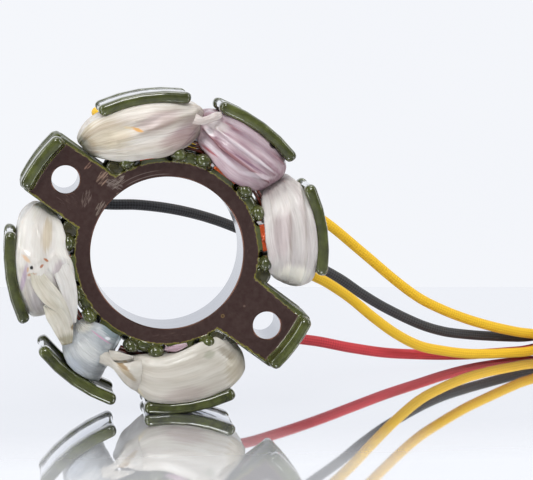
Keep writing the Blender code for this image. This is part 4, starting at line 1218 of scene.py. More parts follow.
    def build_liners(self, bright: bpy.types.Material, rim_wear_and_sheen: bpy.types.Material) -> None:
        """Make the ground skins of the bore and the bolt holes, with their small chamfers."""
        for name, (radius, x, z, sides) in zip(("bore_skin", "upper_hole_skin", "lower_hole_skin"), self.hole_places()):
            radius -= 0.05 * MM
            bpy.ops.object.select_all(action="DESELECT")
            bpy.ops.mesh.primitive_cylinder_add(vertices=sides, radius=radius, depth=CORE_T - 2 * self.chamfer,
                                                end_fill_type="NOTHING", location=(x, MID, z),
                                                rotation=(math.pi / 2, 0.0, 0.0))
            skin = bpy.context.active_object
            skin.name = name
            settle(skin)
            bpy.ops.object.mode_set(mode="EDIT")
            for end, way in ((FRONT + self.chamfer, -1), (-self.chamfer, 1)):
                pick(skin, "EDGE", lambda middle, end=end: abs(middle.y - end) < 0.01 * MM)
                bpy.ops.mesh.extrude_region_move(TRANSFORM_OT_translate={"value": (0.0, way * self.chamfer, 0.0)})
                grown = (radius + 0.05 * MM + self.chamfer) / radius
                bpy.ops.transform.resize(value=(grown, 1.0, grown), center_override=(x, end, z))
            bpy.ops.mesh.select_all(action="SELECT")
            bpy.ops.mesh.normals_make_consistent(inside=True)
            bpy.ops.object.mode_set(mode="OBJECT")
            wall = skin.modifiers.new("wall", "SOLIDIFY")
            wall.thickness = 0.3 * MM
            wall.offset = -1.0
            apply_modifiers(skin)
            dress(skin, bright, "bare_steel")
            skin.data.materials.append(rim_wear_and_sheen)
            for polygon in skin.data.polygons:
                y = polygon.center.y
                if y < FRONT + self.chamfer or y > -self.chamfer:
                    polygon.material_index = 1
            only(skin)
            bpy.ops.object.shade_smooth_by_angle(angle=math.radians(40))

    def build(self) -> None:
        """Build the core's pieces."""
        masked = EpoxyOnSteel("epoxy_on_steel", True).build()
        coat = EpoxyOnSteel("epoxy_coat", False, 0.25).build()
        bright = MachinedSteel("machined_steel", "#A3A6AF", "#C0C3CB", 0.16).build()
        ground = MachinedSteel("ground_steel", "#E6E8EC", "#F6F7F9", 0.12).build()
        # The chamfers' dark brown with coppery streaks stands for edge wear and a painted sheen at the holes' edges.
        rim_wear_and_sheen = MachinedSteel("worn_edge", "#2F2624", "#7A584A", 0.35).build()
        self.coated("front_end_plate", Side.FRONT, masked)
        self.coated("rear_end_plate", Side.REAR, masked)
        self.build_stack(coat, ground)
        self.build_liners(bright, rim_wear_and_sheen)


# Coils


@dataclass
class Fold:
    """One family of ridges on a wrap: how many across it, how high, and how they drift along."""

    count: float
    height_mm: float
    drift: float = 0.0
    warp: float = 0.3
    phase: float = 0.0
    sharp: float = 1.0


@dataclass
class Crease:
    """One ridge or crease seen from the front: its line across and outwards of the pole, in millimetres."""

    line: tuple[tuple[float, float], ...]
    width_mm: float
    height_mm: float

    def lift(self, across: float, out: float) -> float:
        """The crease's height at a place of the front view, in metres."""
        nearest = 1e9
        for (ax, ay), (bx, by) in zip(self.line, self.line[1:]):
            if min(ax, bx) - 3 > across or max(ax, bx) + 3 < across:
                continue
            dx, dy = bx - ax, by - ay
            t = min(1.0, max(0.0, ((across - ax) * dx + (out - ay) * dy) / (dx * dx + dy * dy)))
            nearest = min(nearest, math.hypot(across - ax - t * dx, out - ay - t * dy))
        return self.height_mm * MM * math.exp(-(nearest / self.width_mm) ** 2)


@dataclass
class Wrap:
    """The tape round one coil: a lens of fibres drawn from one end of the coil to the other.

    Each outline row is an angle clockwise from the pole, and the radii of the wrap's inner
    and outer edges there, in millimetres.
    """

    name: str
    pole_deg: float
    outline: tuple[tuple[float, float, float], ...]
    finish: VarnishedTape
    folds: tuple[Fold, ...]
    creases: tuple[Crease, ...] = ()
    bulge: float = 5.0 * MM
    inner_bulge: float = 2.7 * MM
    outer_bulge: float = 2.2 * MM
    square: float = 2.3
    seed: float = 0.0
    slot: str = "tape"
    fibres: float = 1.0
    wire_r: float = 23.7 * MM
    wire_out: float = 37.1 * MM
    rows: int = 110
    columns: int = 200
    closing: int = 5

    def surface(self, s: float, turn: float) -> tuple[Vector, float]:
        """A point of the smooth wrap, before its folds.

        Args:
            s: 0 at the inner edge, 1 at the outer edge.
            turn: angle round the coil: 0 at the clockwise side, a quarter turn at the front.

        Returns:
            The point in the pole's own frame, and its angle clockwise in degrees.
        """
        left = self.outline[0][0]
        right = self.outline[-1][0]
        power = 2.0 / self.square
        cosine = math.copysign(abs(math.cos(turn)) ** power, math.cos(turn))
        sine = math.copysign(abs(math.sin(turn)) ** power, math.sin(turn))
        degrees = (left + right) / 2 + (right - left) / 2 * cosine
        low = level(self.outline, degrees, 1) * MM
        high = level(self.outline, degrees, 2) * MM
        radius = low + (high - low) * s
        edge = self.inner_bulge + (self.outer_bulge - self.inner_bulge) * s
        swell = (1.0 - abs(2 * s - 1) ** 2.6) ** 0.55
        depth = CORE_T / 2 + edge + (self.bulge - edge) * swell
        angle = math.radians(degrees)
        return Vector((radius * math.sin(angle), MID - sine * depth, radius * math.cos(angle))), degrees

    def height(self, s: float, turn: float) -> float:
        """The folds' height at a place, in metres."""
        total = 0.0
        for k, fold in enumerate(self.folds):
            wobble = noise.noise(Vector((turn * 1.3 + self.seed, s * 2.0 + k * 7.1, self.seed * 1.7 + k)))
            place = s * fold.count + fold.drift * turn + fold.warp * wobble * fold.count * 0.25 + fold.phase
            wave = abs(math.cos(math.pi * place)) ** fold.sharp
            fade = 0.45 + 1.1 * noise.noise(Vector((turn * 0.9 + k * 3.3, s * fold.count * 0.5, self.seed + 4.0)))
            total += fold.height_mm * MM * (wave - 0.6) * fade
        fine = noise.noise(Vector((turn * 1.1, s * 34.0, self.seed)))
        finer = noise.noise(Vector((turn * 2.0, s * 80.0, self.seed + 9.0)))
        return total + self.fibres * (0.07 * fine + 0.03 * finer) * MM

    def build(self) -> bpy.types.Object:
        """Build the wrap, dressed."""
        frame = pole_frame(self.pole_deg)
        grid = []
        for i in range(self.rows):
            s = i / (self.rows - 1)
            grid.append([self.surface(s, math.tau * j / self.columns)[0] for j in range(self.columns)])
        verts = []
        heights = []
        for i in range(self.rows):
            s = i / (self.rows - 1)
            for j in range(self.columns):
                turn = math.tau * j / self.columns
                up = grid[min(i + 1, self.rows - 1)][j] - grid[max(i - 1, 0)][j]
                along = grid[i][(j + 1) % self.columns] - grid[i][j - 1]
                normal = along.cross(up).normalized()
                calm = min(1.0, 6 * s, 6 * (1 - s))
                point = grid[i][j]
                height = self.height(s, turn) * calm
                if math.sin(turn) > 0.0:
                    front = min(1.0, 3 * math.sin(turn))
                    height += front * sum(crease.lift(point.x / MM, point.z / MM) for crease in self.creases)
                verts.append(frame @ (point + normal * height))
                heights.append(height / MM)
        faces = grid_faces(self.rows, self.columns, True)
        uvs = []
        round_mm = 62.0 / self.columns
        across_mm = 13.0 / (self.rows - 1)
        for i in range(self.rows - 1):
            for j in range(self.columns):
                uvs += [(j * round_mm, i * across_mm), ((j + 1) * round_mm, i * across_mm),
                        ((j + 1) * round_mm, (i + 1) * across_mm), (j * round_mm, (i + 1) * across_mm)]
        rim = (self.rows - 1) * self.columns
        for step in range(1, self.closing + 1):
            share = step / (self.closing + 1)
            base = len(verts)
            for j in range(self.columns):
                turn = math.tau * j / self.columns
                grow = 1.0 / max(abs(math.cos(turn)), abs(math.sin(turn)))
                edge = grid[-1][j]
                across = math.atan2(edge.x, edge.z) * (1 - share) + share * math.cos(turn) * grow * NECK_W / 2 / (37 * MM)
                radius = level(self.outline, math.degrees(across), 2) * MM - 0.3 * MM * share
                depth = edge.y - MID + share * (MID - edge.y - math.sin(turn) * grow * (CORE_T / 2 + 0.5 * MM))
                verts.append(frame @ Vector((radius * math.sin(across), MID + depth, radius * math.cos(across))))
            for j in range(self.columns):
                k = (j + 1) % self.columns
                faces.append((rim + j, rim + k, base + k, base + j))
                uvs += [(j * round_mm, 0.0), ((j + 1) * round_mm, 0.0), ((j + 1) * round_mm, 3.0), (j * round_mm, 3.0)]
            rim = base
        for start, shift, s in ((0, 0.5 * MM, 0.0), (rim, -0.3 * MM, 1.0)):
            base = len(verts)
            for j in range(self.columns):
                turn = math.tau * j / self.columns
                grow = 1.0 / max(abs(math.cos(turn)), abs(math.sin(turn)))
                point = Vector((math.cos(turn) * grow * (NECK_W / 2 + 0.5 * MM),
                                MID - math.sin(turn) * grow * (CORE_T / 2 + 0.5 * MM),
                                (level(self.outline, 0.0, 1 if s == 0.0 else 2) * MM + shift)))
                verts.append(frame @ point)
            for j in range(self.columns):
                k = (j + 1) % self.columns
                faces.append((start + j, start + k, base + k, base + j))
                uvs += [(j * round_mm, 0.0), ((j + 1) * round_mm, 0.0), ((j + 1) * round_mm, 3.0), (j * round_mm, 3.0)]
        last = len(verts) - 2 * self.columns
        for j in range(self.columns):
            k = (j + 1) % self.columns
            faces.append((last + j, last + k, last + self.columns + k, last + self.columns + j))
            uvs += [(j * round_mm, 0.0), ((j + 1) * round_mm, 0.0), ((j + 1) * round_mm, 9.0), (j * round_mm, 9.0)]
        piece = mesh_piece("wrap_" + self.name, verts, faces, uvs)
        heights += [0.0] * (len(verts) - len(heights))
        piece.data.attributes.new("fold", "FLOAT", "POINT").data.foreach_set("value", heights)
        outwards(piece)
        dress(piece, self.finish.build(), self.slot, "tape_wrap_" + self.name)
        return piece


CREAM = {"light": "#E1DDD4", "middle": "#D2CCC0", "deep": "#B5AB9A", "blush": "#EADFDF"}
OVER = "MIX"
UNDER = "MULTIPLY"
WRAPS = (
    Wrap("top", 98.2, (
        (-30.2, 31.6, 34.6), (-29.4, 30.3, 35.4), (-27.0, 28.8, 36.3), (-23.4, 27.1, 37.1), (-19.0, 25.6, 37.5),
        (-12.9, 24.4, 37.5), (0.0, 23.8, 37.5), (7.5, 24.1, 37.5), (14.0, 25.3, 37.5), (21.0, 27.5, 37.2),
        (24.4, 30.6, 35.6), (25.5, 32.4, 34.2)),
        VarnishedTape("tape_top", **CREAM, blush_share=0.5, grain=0.2, depth=0.7, marks=(
            (-21.5, 30.5, 3.0, 3.4, 0, 0.5, "#EFE2C4", UNDER), (5.0, 31.0, 4.0, 3.0, 45, 0.5, "#D9CBD2", UNDER),
            (5.8, 28.6, 3.4, 0.18, 42, 0.5, "#8E7A86", OVER), (7.1, 30.4, 3.0, 0.2, 40, 0.5, "#94808A", OVER),
            (4.4, 26.6, 2.4, 0.2, 38, 0.5, "#8E7A86", OVER),
            (-2.0, 33.0, 6.0, 2.4, 20, 0.8, "#E6D8DC", UNDER), (4.0, 28.9, 6.5, 2.6, 25, 0.9, "#DCCBD0", UNDER),
            (-14.3, 29.5, 6.0, 4.0, 0, 0.5, "#F0E2BE", UNDER), (-20.0, 26.5, 4.0, 2.4, -50, 0.7, "#DCC7A0", UNDER),
            (-7.3, 30.9, 1.5, 0.45, -20, 0.95, "#DDA555", OVER), (-9.4, 31.4, 1.3, 0.35, -8, 0.6, "#E6CFA0", OVER))),
        (Fold(4.0, 0.10, 0.10, 0.9), Fold(11.0, 0.06, 0.05, 0.9), Fold(27.0, 0.03, 0.0, 0.8)), (
            Crease(((-16.6, 30.2), (-13.1, 31.3), (-8.7, 31.9), (-4.0, 31.4)), 1.60, 0.35),
            Crease(((-16.2, 29.2), (-12.1, 27.2), (-6.9, 24.9), (-0.7, 24.2)), 1.40, 0.30),
            Crease(((-8.6, 32.1), (-1.1, 32.3), (4.0, 34.6), (11.2, 34.7)), 0.90, 0.35),
            Crease(((-7.8, 29.6), (0.4, 31.2), (6.9, 32.4), (12.6, 33.6)), 0.80, -0.30),
            Crease(((-6.5, 27.8), (1.6, 29.0), (8.1, 29.6), (13.3, 31.3)), 1.20, 0.40),
            Crease(((-3.6, 25.6), (2.7, 25.5), (9.2, 26.7), (12.6, 28.2)), 0.70, -0.25),
            Crease(((-2.9, 33.6), (2.4, 34.4), (7.3, 35.3), (12.0, 35.0)), 0.60, -0.25),), seed=1.3),
    Wrap("top_right", 53.2, (
        (-22.5, 30.2, 33.8), (-21.6, 29.2, 35.4), (-19.9, 27.5, 36.4), (-13.0, 25.8, 37.4), (-7.5, 24.7, 37.5),
        (2.0, 23.8, 37.5), (8.0, 24.2, 37.5), (12.8, 25.0, 37.5), (17.0, 26.0, 37.0), (20.7, 27.5, 35.0),
        (22.2, 29.4, 32.9)),
        VarnishedTape("tape_top_right", "#C1A8AF", "#A68490", "#825E6A", "#CDB3BB", 0.5, 0.8, 0.25,
                      "#A8585E", "#EFE6E8", 0.75, grain=0.25, marks=(
                          # The pale marks laid along the strands, at 19.9, 24.8; 12.8, 24.6; 22.3, 19.2; 12.0, 31.9 and
                          # 10.4, 30.2, are painted highlights.
                          (19.5, 29.9, 8.5, 1.0, -38, 0.45, "#BDB0B8", OVER), (19.9, 24.8, 9.4, 0.55, -37, 0.75, "#E6DEE1", OVER),
                          (12.8, 24.6, 7.0, 0.6, -42, 0.75, "#DDD2D7", OVER), (22.3, 19.2, 4.9, 0.7, -13, 0.7, "#DDD2D7", OVER),
                          (19.5, 22.7, 6.8, 0.28, -33, 0.7, "#7E5A72", OVER), (10.0, 25.7, 2.8, 0.3, -37, 0.8, "#A8434A", OVER),
                          (12.0, 31.9, 3.4, 1.5, -20, 0.7, "#DCD6D2", OVER), (10.4, 30.2, 1.6, 0.7, -50, 0.8, "#EBE4E6", OVER),
                          (25.8, 26.4, 0.9, 0.5, -40, 0.9, "#241A1A", OVER))),
        (Fold(6.0, 0.12, 0.04, 0.7), Fold(15.0, 0.08, 0.0, 0.6), Fold(31.0, 0.04, 0.0, 0.5)), (
            Crease(((-8.0, 33.3), (-1.6, 34.0), (5.2, 34.1), (10.3, 33.8)), 0.90, 0.55),
            Crease(((-9.6, 30.9), (-4.8, 31.1), (1.9, 31.2), (7.8, 31.2), (10.3, 31.1)), 0.90, 0.60),
            Crease(((-10.5, 28.8), (-5.7, 27.0), (0.2, 27.0), (5.6, 27.6), (9.6, 28.1)), 0.90, 0.60),
            Crease(((-7.2, 35.6), (-1.4, 37.0), (5.0, 36.9), (10.5, 36.1)), 1.00, 0.40),
            Crease(((-8.7, 32.0), (-2.9, 31.8), (4.5, 31.7), (10.1, 31.4)), 0.45, -0.60),
            Crease(((-10.7, 30.1), (-5.1, 28.9), (1.3, 28.8), (9.5, 29.0)), 0.45, -0.60),
            Crease(((-7.7, 34.3), (-1.5, 35.2), (5.3, 35.2), (10.0, 34.8)), 0.45, -0.55),
            Crease(((-9.4, 26.1), (-3.6, 25.6), (2.2, 25.5), (9.1, 26.2)), 0.80, 0.35),), seed=5.1, slot="pink_tape"),
    Wrap("right", 8.2, (
        (-24.0, 29.8, 33.0), (-22.9, 28.1, 35.6), (-18.5, 26.4, 37.2), (-10.6, 25.1, 37.5), (1.6, 24.3, 37.5),
        (9.2, 24.7, 37.5), (15.0, 25.2, 37.5), (20.9, 26.4, 36.8), (24.2, 29.2, 34.4), (24.9, 31.0, 33.2)),
        VarnishedTape("tape_right", "#D9D5D1", "#C9C3BF", "#ADA59F", "#DFD3D7", 0.4, 0.5, marks=(
            # The pale mark at 31.2, -6.2 is painted light, lifting the shade on the wrap's downward-facing lower end.
            (28.0, 5.0, 7.0, 2.6, 80, 0.6, "#E6D8DC", UNDER), (31.2, -6.2, 4.6, 3.4, 0, 0.95, "#F0ECDF", OVER),
            (29.0, 12.0, 3.5, 2.0, 60, 0.4, "#E6E2DC", OVER))),
        (Fold(7.0, 0.10, 0.0, 0.9, 0.3), Fold(15.0, 0.07, 0.0, 0.9), Fold(33.0, 0.04, 0.0, 0.8)), (
            Crease(((-11.7, 27.8), (-4.5, 25.6), (1.9, 25.1), (9.5, 25.6)), 0.90, 0.30),
            Crease(((-12.4, 30.6), (-4.0, 28.9), (4.4, 27.4), (12.0, 27.7)), 1.30, 0.45),
            Crease(((-13.1, 33.2), (-4.5, 33.3), (4.0, 32.3), (11.8, 29.8)), 1.20, 0.40),
            Crease(((-12.8, 31.8), (-3.7, 31.0), (4.7, 29.8), (10.0, 29.0)), 0.60, -0.30),
            Crease(((-11.1, 35.8), (-3.0, 36.0), (5.5, 35.1), (12.8, 33.2)), 0.80, 0.30),
            Crease(((-11.8, 35.1), (-3.2, 34.7), (5.3, 33.7), (12.1, 32.0)), 0.45, -0.30),), seed=9.4),
    Wrap("bottom", -81.8, (
        (-28.4, 28.6, 32.4), (-27.3, 26.7, 33.9), (-24.8, 25.0, 35.9), (-17.0, 23.9, 37.4), (-10.5, 23.5, 37.5),
        (-4.0, 23.9, 37.5), (7.6, 25.2, 37.5), (15.0, 25.9, 37.2), (18.0, 26.0, 36.4), (22.7, 26.3, 34.9),
        (26.5, 26.7, 34.0), (29.5, 27.6, 32.6), (32.0, 28.6, 31.4), (34.2, 29.8, 30.6)),
        VarnishedTape("tape_bottom", "#CAC5BB", "#C2BDB1", "#B3AC9F", "#DFD3CF", 0.25, 0.6, grain=0.08, depth=0.25, pale_tone_and_ridge_highlight="#E0DDD6",
                      marks=(
            (4.0, -35.0, 6.0, 2.0, 10, 0.6, "#E2D6DA", UNDER), (-9.9, -28.4, 3.2, 1.0, -50, 0.7, "#C7B084", UNDER),
            (-10.2, -27.3, 1.8, 0.4, -32, 0.8, "#8E7448", OVER), (-9.4, -31.8, 5.2, 0.5, -48, 0.7, "#D9CDAA", OVER),
            (10.2, -25.2, 1.6, 1.0, 15, 0.4, "#A9B79A", UNDER), (16.8, -29.5, 2.6, 4.0, 0, 0.5, "#D6CCB0", UNDER),
            (14.6, -25.2, 2.8, 1.0, -30, 0.6, "#A79C88", UNDER))),
        (Fold(2.5, 0.10, 0.12, 1.6, 0.2), Fold(7.0, 0.015, 0.1, 1.5)), (
            Crease(((16.4, 25.7), (10.7, 27.7), (2.3, 28.7), (-6.5, 27.8), (-12.1, 26.4)), 1.30, 0.14),
            Crease(((16.4, 26.1), (11.1, 30.4), (3.0, 34.0), (-6.6, 34.8), (-11.7, 32.9)), 1.40, 0.14),
            Crease(((15.9, 25.9), (9.8, 29.0), (1.5, 31.2), (-8.2, 31.3)), 0.70, -0.08),
            Crease(((16.3, 25.3), (11.5, 25.2), (4.1, 26.8), (-2.5, 25.3)), 0.60, 0.12),
            Crease(((14.9, 26.9), (10.9, 32.6), (3.4, 36.6)), 0.60, -0.12),), seed=13.9, fibres=0.35,
        wire_r=25.0 * MM),
    Wrap("lower_left", -126.8, (
        (-9.8, 25.4, 36.0), (-8.8, 24.0, 36.6), (0.0, 23.5, 37.0), (6.2, 23.6, 36.6), (11.8, 25.0, 34.8),
        (15.0, 26.4, 32.0), (16.4, 27.2, 29.6)),
        VarnishedTape("tape_lower_left", "#B3B8BA", "#A5ABAE", "#8A9195", "#D2CACD", 0.3, 0.5, 0.25, grain=0.25, depth=0.4,
                      pale_tone_and_ridge_highlight="#DFE1E1", marks=(
                          (-20.0, -23.5, 3.6, 2.2, -45, 0.65, "#D3D4D1", OVER), (-13.2, -19.0, 3.8, 2.0, -42, 0.9, "#78878B", OVER),
                          (-21.0, -17.6, 2.4, 1.6, 0, 0.6, "#D8D4C6", OVER), (-16.6, -20.3, 3.2, 0.2, -38, 0.9, "#C795AE", OVER),
                          # The near-white spot at -15.0, -20.6 is a painted highlight.
                          (-15.0, -20.6, 0.8, 0.4, -30, 0.8, "#EDEFF2", OVER), (-23.5, -27.0, 3.0, 1.6, -40, 0.6, "#A9B0BA", OVER))),
        (Fold(3.0, 0.16, 0.2, 0.9), Fold(9.0, 0.10, 0.1, 0.9), Fold(19.0, 0.07, 0.0, 0.9)),
        bulge=3.8 * MM, seed=17.2, fibres=2.0, wire_r=25.4 * MM, wire_out=35.0 * MM),
    Wrap("left", -171.8, (
        (-19.8, 29.0, 32.6), (-18.8, 27.0, 34.6), (-16.6, 25.6, 36.9), (-8.8, 23.7, 37.3), (3.2, 23.4, 37.4),
        (12.2, 24.8, 37.3), (18.5, 25.2, 37.2), (22.0, 25.9, 37.0), (25.0, 26.7, 36.3), (27.4, 27.9, 35.4),
        (29.0, 29.4, 34.6), (29.9, 31.4, 33.4)),
        VarnishedTape("tape_left", "#DEDCD5", "#D6D3CB", "#C6C0B6", "#E6DEE2", 0.3, 0.8, 0.25, grain=0.1, depth=0.35, marks=(
            # The mauve-brown mark at -25.9, -11.2 is a painted shadow, between the tongue's two strands.
            (-29.6, 5.4, 4.2, 1.5, 80, 0.8, "#EADFC8", UNDER), (-25.9, -11.2, 1.9, 1.0, -55, 0.85, "#948079", OVER),
            (-35.3, -5.0, 3.6, 0.6, 78, 0.7, "#A892AB", OVER), (-31.6, -10.9, 3.6, 2.4, 80, 0.8, "#DCD8E0", UNDER),
            (-26.7, -3.9, 3.2, 1.7, 78, 0.75, "#DBD0DC", UNDER), (-34.7, -0.3, 1.4, 0.5, -45, 0.8, "#D9B792", OVER),
            (-32.6, -0.7, 1.2, 0.7, 0, 0.5, "#E2DED8", OVER), (-32.0, -2.8, 0.9, 0.6, 40, 0.5, "#E2DDD8", OVER),
            (-33.6, -4.2, 1.2, 0.4, 10, 0.75, "#BC8F69", OVER), (-34.4, -3.0, 0.7, 0.3, 80, 0.7, "#C59A72", OVER),
            (-31.0, -2.1, 0.7, 0.35, 45, 0.9, "#A9643A", OVER), (-29.9, -0.6, 0.8, 0.3, -30, 0.9, "#A4602F", OVER),
            (-33.5, -2.5, 0.42, 0.5, 0, 1.0, "#15100E", OVER))),
        (Fold(2.5, 0.08, 0.22, 1.5, 0.4), Fold(6.0, 0.025, 0.15, 1.4)), (
            Crease(((15.4, 32.4), (11.4, 33.3), (7.2, 33.6)), 1.60, 0.50),
            Crease(((14.2, 26.3), (10.3, 25.8), (5.6, 26.9)), 1.80, 0.60),
            Crease(((11.4, 30.7), (8.2, 30.3), (4.9, 29.7)), 1.00, -0.20),
            Crease(((6.8, 35.4), (3.6, 32.7), (3.2, 28.9), (4.9, 27.1), (2.4, 24.5)), 0.60, -0.22),
            Crease(((0.7, 29.6), (-3.9, 26.5), (-8.7, 25.1), (-13.3, 24.5)), 0.50, 0.55),
            Crease(((-5.4, 28.1), (-8.8, 26.8), (-11.1, 25.4)), 0.90, -0.60),
            Crease(((-1.1, 34.1), (-6.0, 31.7), (-8.6, 28.9), (-11.2, 26.5)), 0.50, 0.50),
            Crease(((2.3, 35.7), (-3.0, 35.6), (-8.5, 35.5)), 0.60, -0.40),
            Crease(((1.9, 25.6), (-3.2, 24.3), (-8.1, 24.3)), 1.00, 0.35),), seed=21.7, fibres=0.5),
)


@dataclass
class Winding:
    """The enamelled turns on one pole: rounded loops of wire, one beside another."""

    name: str
    pole_deg: float
    outline: tuple[tuple[float, float, float], ...]
    inner_r: float
    wire: float = 0.62 * MM
    bulge: float = 3.8 * MM
    outer_r: float = 37.1 * MM
    columns: int = 72
    steps: int = 6

    def span(self, radius: float) -> tuple[float, float]:
        """The angles that the turns reach to at a radius, kept inside the tape.

        Args:
            radius: the turns' radius in metres.

        Returns:
            The lowest and the highest angle, in degrees clockwise.
        """
        covered = [d / 4 for d in range(-140, 141)
                   if self.outline[0][0] < d / 4 < self.outline[-1][0]
                   and level(self.outline, d / 4, 1) * MM + 0.9 * MM < radius < (level(self.outline, d / 4, 2) - 0.9) * MM]
        low = min(covered) + 2.8 if covered else 0.0
        high = max(covered) - 2.8 if covered else 0.0
        slim = 7.4 if radius < 25 * MM else 5.0
        return min(low, -slim), max(high, slim)

    def build(self, finish: bpy.types.Material) -> None:
        """Build the turns as one corrugated sleeve round the neck."""
        frame = pole_frame(self.pole_deg)
        turns = int((self.outer_r - self.inner_r) / self.wire)
        rings = []
        for i in range(turns * self.steps + 1):
            share = i / (turns * self.steps)
            radius = self.inner_r + (self.outer_r - self.inner_r) * share
            ridge = abs(math.sin(math.pi * i / self.steps)) ** 0.6 * self.wire / 2
            swell = min(1.0, share * 5.0 + 0.25)
            grown = min(1.0, max(0.0, (radius / MM - 24.0) / 3.6))
            power = 1.0 - 0.23 * grown
            depth = (self.bulge - 1.2 * MM) * swell - self.wire / 2 + ridge
            rings.append((radius, self.span(radius), depth, ridge - self.wire / 2, power, 1.1 * MM * (1 - grown)))
        verts = []
        for radius, (low, high), depth, ridge, power, sag in rings:
            for j in range(self.columns):
                turn = math.tau * j / self.columns
                cosine = math.copysign(abs(math.cos(turn)) ** power, math.cos(turn))
                sine = math.copysign(abs(math.sin(turn)) ** power, math.sin(turn))
                middle = radius * math.radians((low + high) / 2)
                across = middle + cosine * (radius * math.radians((high - low) / 2) + ridge)
                angle = across / radius
                out = radius + sag * cosine * cosine
                verts.append(frame @ Vector((out * math.sin(angle), MID - sine * (CORE_T / 2 + depth),
                                             out * math.cos(angle))))
        for radius in (self.outer_r, self.inner_r):
            for j in range(self.columns):
                turn = math.tau * j / self.columns
                grow = 1.0 / max(abs(math.cos(turn)), abs(math.sin(turn)))
                verts.append(frame @ Vector((math.cos(turn) * grow * (NECK_W / 2 + CLEAR),
                                             MID - math.sin(turn) * grow * (CORE_T / 2 + CLEAR), radius)))
        piece = mesh_piece("turns_" + self.name, verts, grid_faces(len(rings) + 2, self.columns, True, True))
        outwards(piece)
        dress(piece, finish, "copper_enamel", "winding_" + self.name)


@dataclass
class Ribbon:
    """A loose strip of tape between two coils: a curved leaf with a thin edge."""

    name: str
    line: tuple[tuple[float, float, float], ...]
    widths: tuple[float, ...]
    facing: tuple[float, float, float]
    crown: float = 0.6
    thickness: float = 0.25 * MM

    def build(self, finish: bpy.types.Material, *nodes: str) -> None:
        """Build the strip over its centreline, in millimetres, and dress it."""
        centre = smooth_points([Vector(p) * MM for p in self.line], 0.4 * MM)
        face = Vector(self.facing).normalized()
        count = len(centre)
        keys = [(i / (len(self.widths) - 1), w) for i, w in enumerate(self.widths)]
        columns = 17
        verts = []
        for i, point in enumerate(centre):
            share = i / (count - 1)
            tangent = (centre[min(i + 1, count - 1)] - centre[max(i - 1, 0)]).normalized()
            side = tangent.cross(face).normalized()
            width = level(keys, share, 1) * MM
            for j in range(columns):
                v = 2 * j / (columns - 1) - 1
                lift = self.crown * min(width / MM / 5, 1.0) * MM * (1 - v * v)
                ripple = 0.18 * MM * noise.noise(Vector((share * 2.0, v * 6.0, width * 900)))
                verts.append(point + side * v * width / 2 + face * (lift + ripple))
        faces = grid_faces(count, columns, False)
        uvs = []
        step = line_length(centre) / MM / (count - 1)
        for i in range(count - 1):
            for j in range(columns - 1):
                uvs += [(i * step, j * 0.3), (i * step, (j + 1) * 0.3), ((i + 1) * step, (j + 1) * 0.3),
                        ((i + 1) * step, j * 0.3)]
        piece = mesh_piece(self.name, verts, faces, uvs)
        wall = piece.modifiers.new("wall", "SOLIDIFY")
        wall.thickness = self.thickness
        wall.offset = 0.0
        apply_modifiers(piece)
        outwards(piece)
        dress(piece, finish, "tape", *nodes)


@dataclass
class Jumper:
    """Wires that cross from one winding to the next, behind the front end plate."""

    name: str
    pole_deg: float
    radii: tuple[float, ...]
    reach_deg: float = 12.0
    wire: float = 0.42 * MM
    place_y: float = FRONT + 2.6 * MM

    def build(self, finish: bpy.types.Material) -> None:
        """Spin a wire's section about the bore's axis for each wire, side by side."""
        bpy.ops.object.select_all(action="DESELECT")
        start = math.radians(self.pole_deg - self.reach_deg)
        out = Vector((math.cos(start), 0.0, math.sin(start)))
        for k, radius in enumerate(self.radii):
            bpy.ops.mesh.primitive_circle_add(vertices=10, radius=self.wire, rotation=(0.0, -start, 0.0),
                                              location=out * radius * MM + Vector((0.0, self.place_y + 0.2 * k * MM, 0.0)))
            if not k:
                piece = bpy.context.active_object
                piece.name = self.name
                settle(piece)
                bpy.ops.object.mode_set(mode="EDIT")
        bpy.ops.mesh.select_all(action="SELECT")
        bpy.ops.mesh.spin(steps=28, angle=math.radians(2 * self.reach_deg), center=(0.0, 0.0, 0.0), axis=(0.0, 1.0, 0.0))
        bpy.ops.mesh.select_all(action="SELECT")
        bpy.ops.mesh.remove_doubles(threshold=0.001 * MM)
        bpy.ops.mesh.fill_holes(sides=0)
        bpy.ops.mesh.select_all(action="SELECT")
        bpy.ops.mesh.normals_make_consistent(inside=False)
        bpy.ops.object.mode_set(mode="OBJECT")
        bpy.ops.object.shade_smooth_by_angle(angle=math.radians(50))
        dress(piece, finish, "copper_enamel")


JUMPERS = ((75.7, (26.3, 27.2, 28.1)), (30.7, (26.4, 27.3)), (210.7, (26.4, 27.3)), (255.7, (26.3, 27.1)))


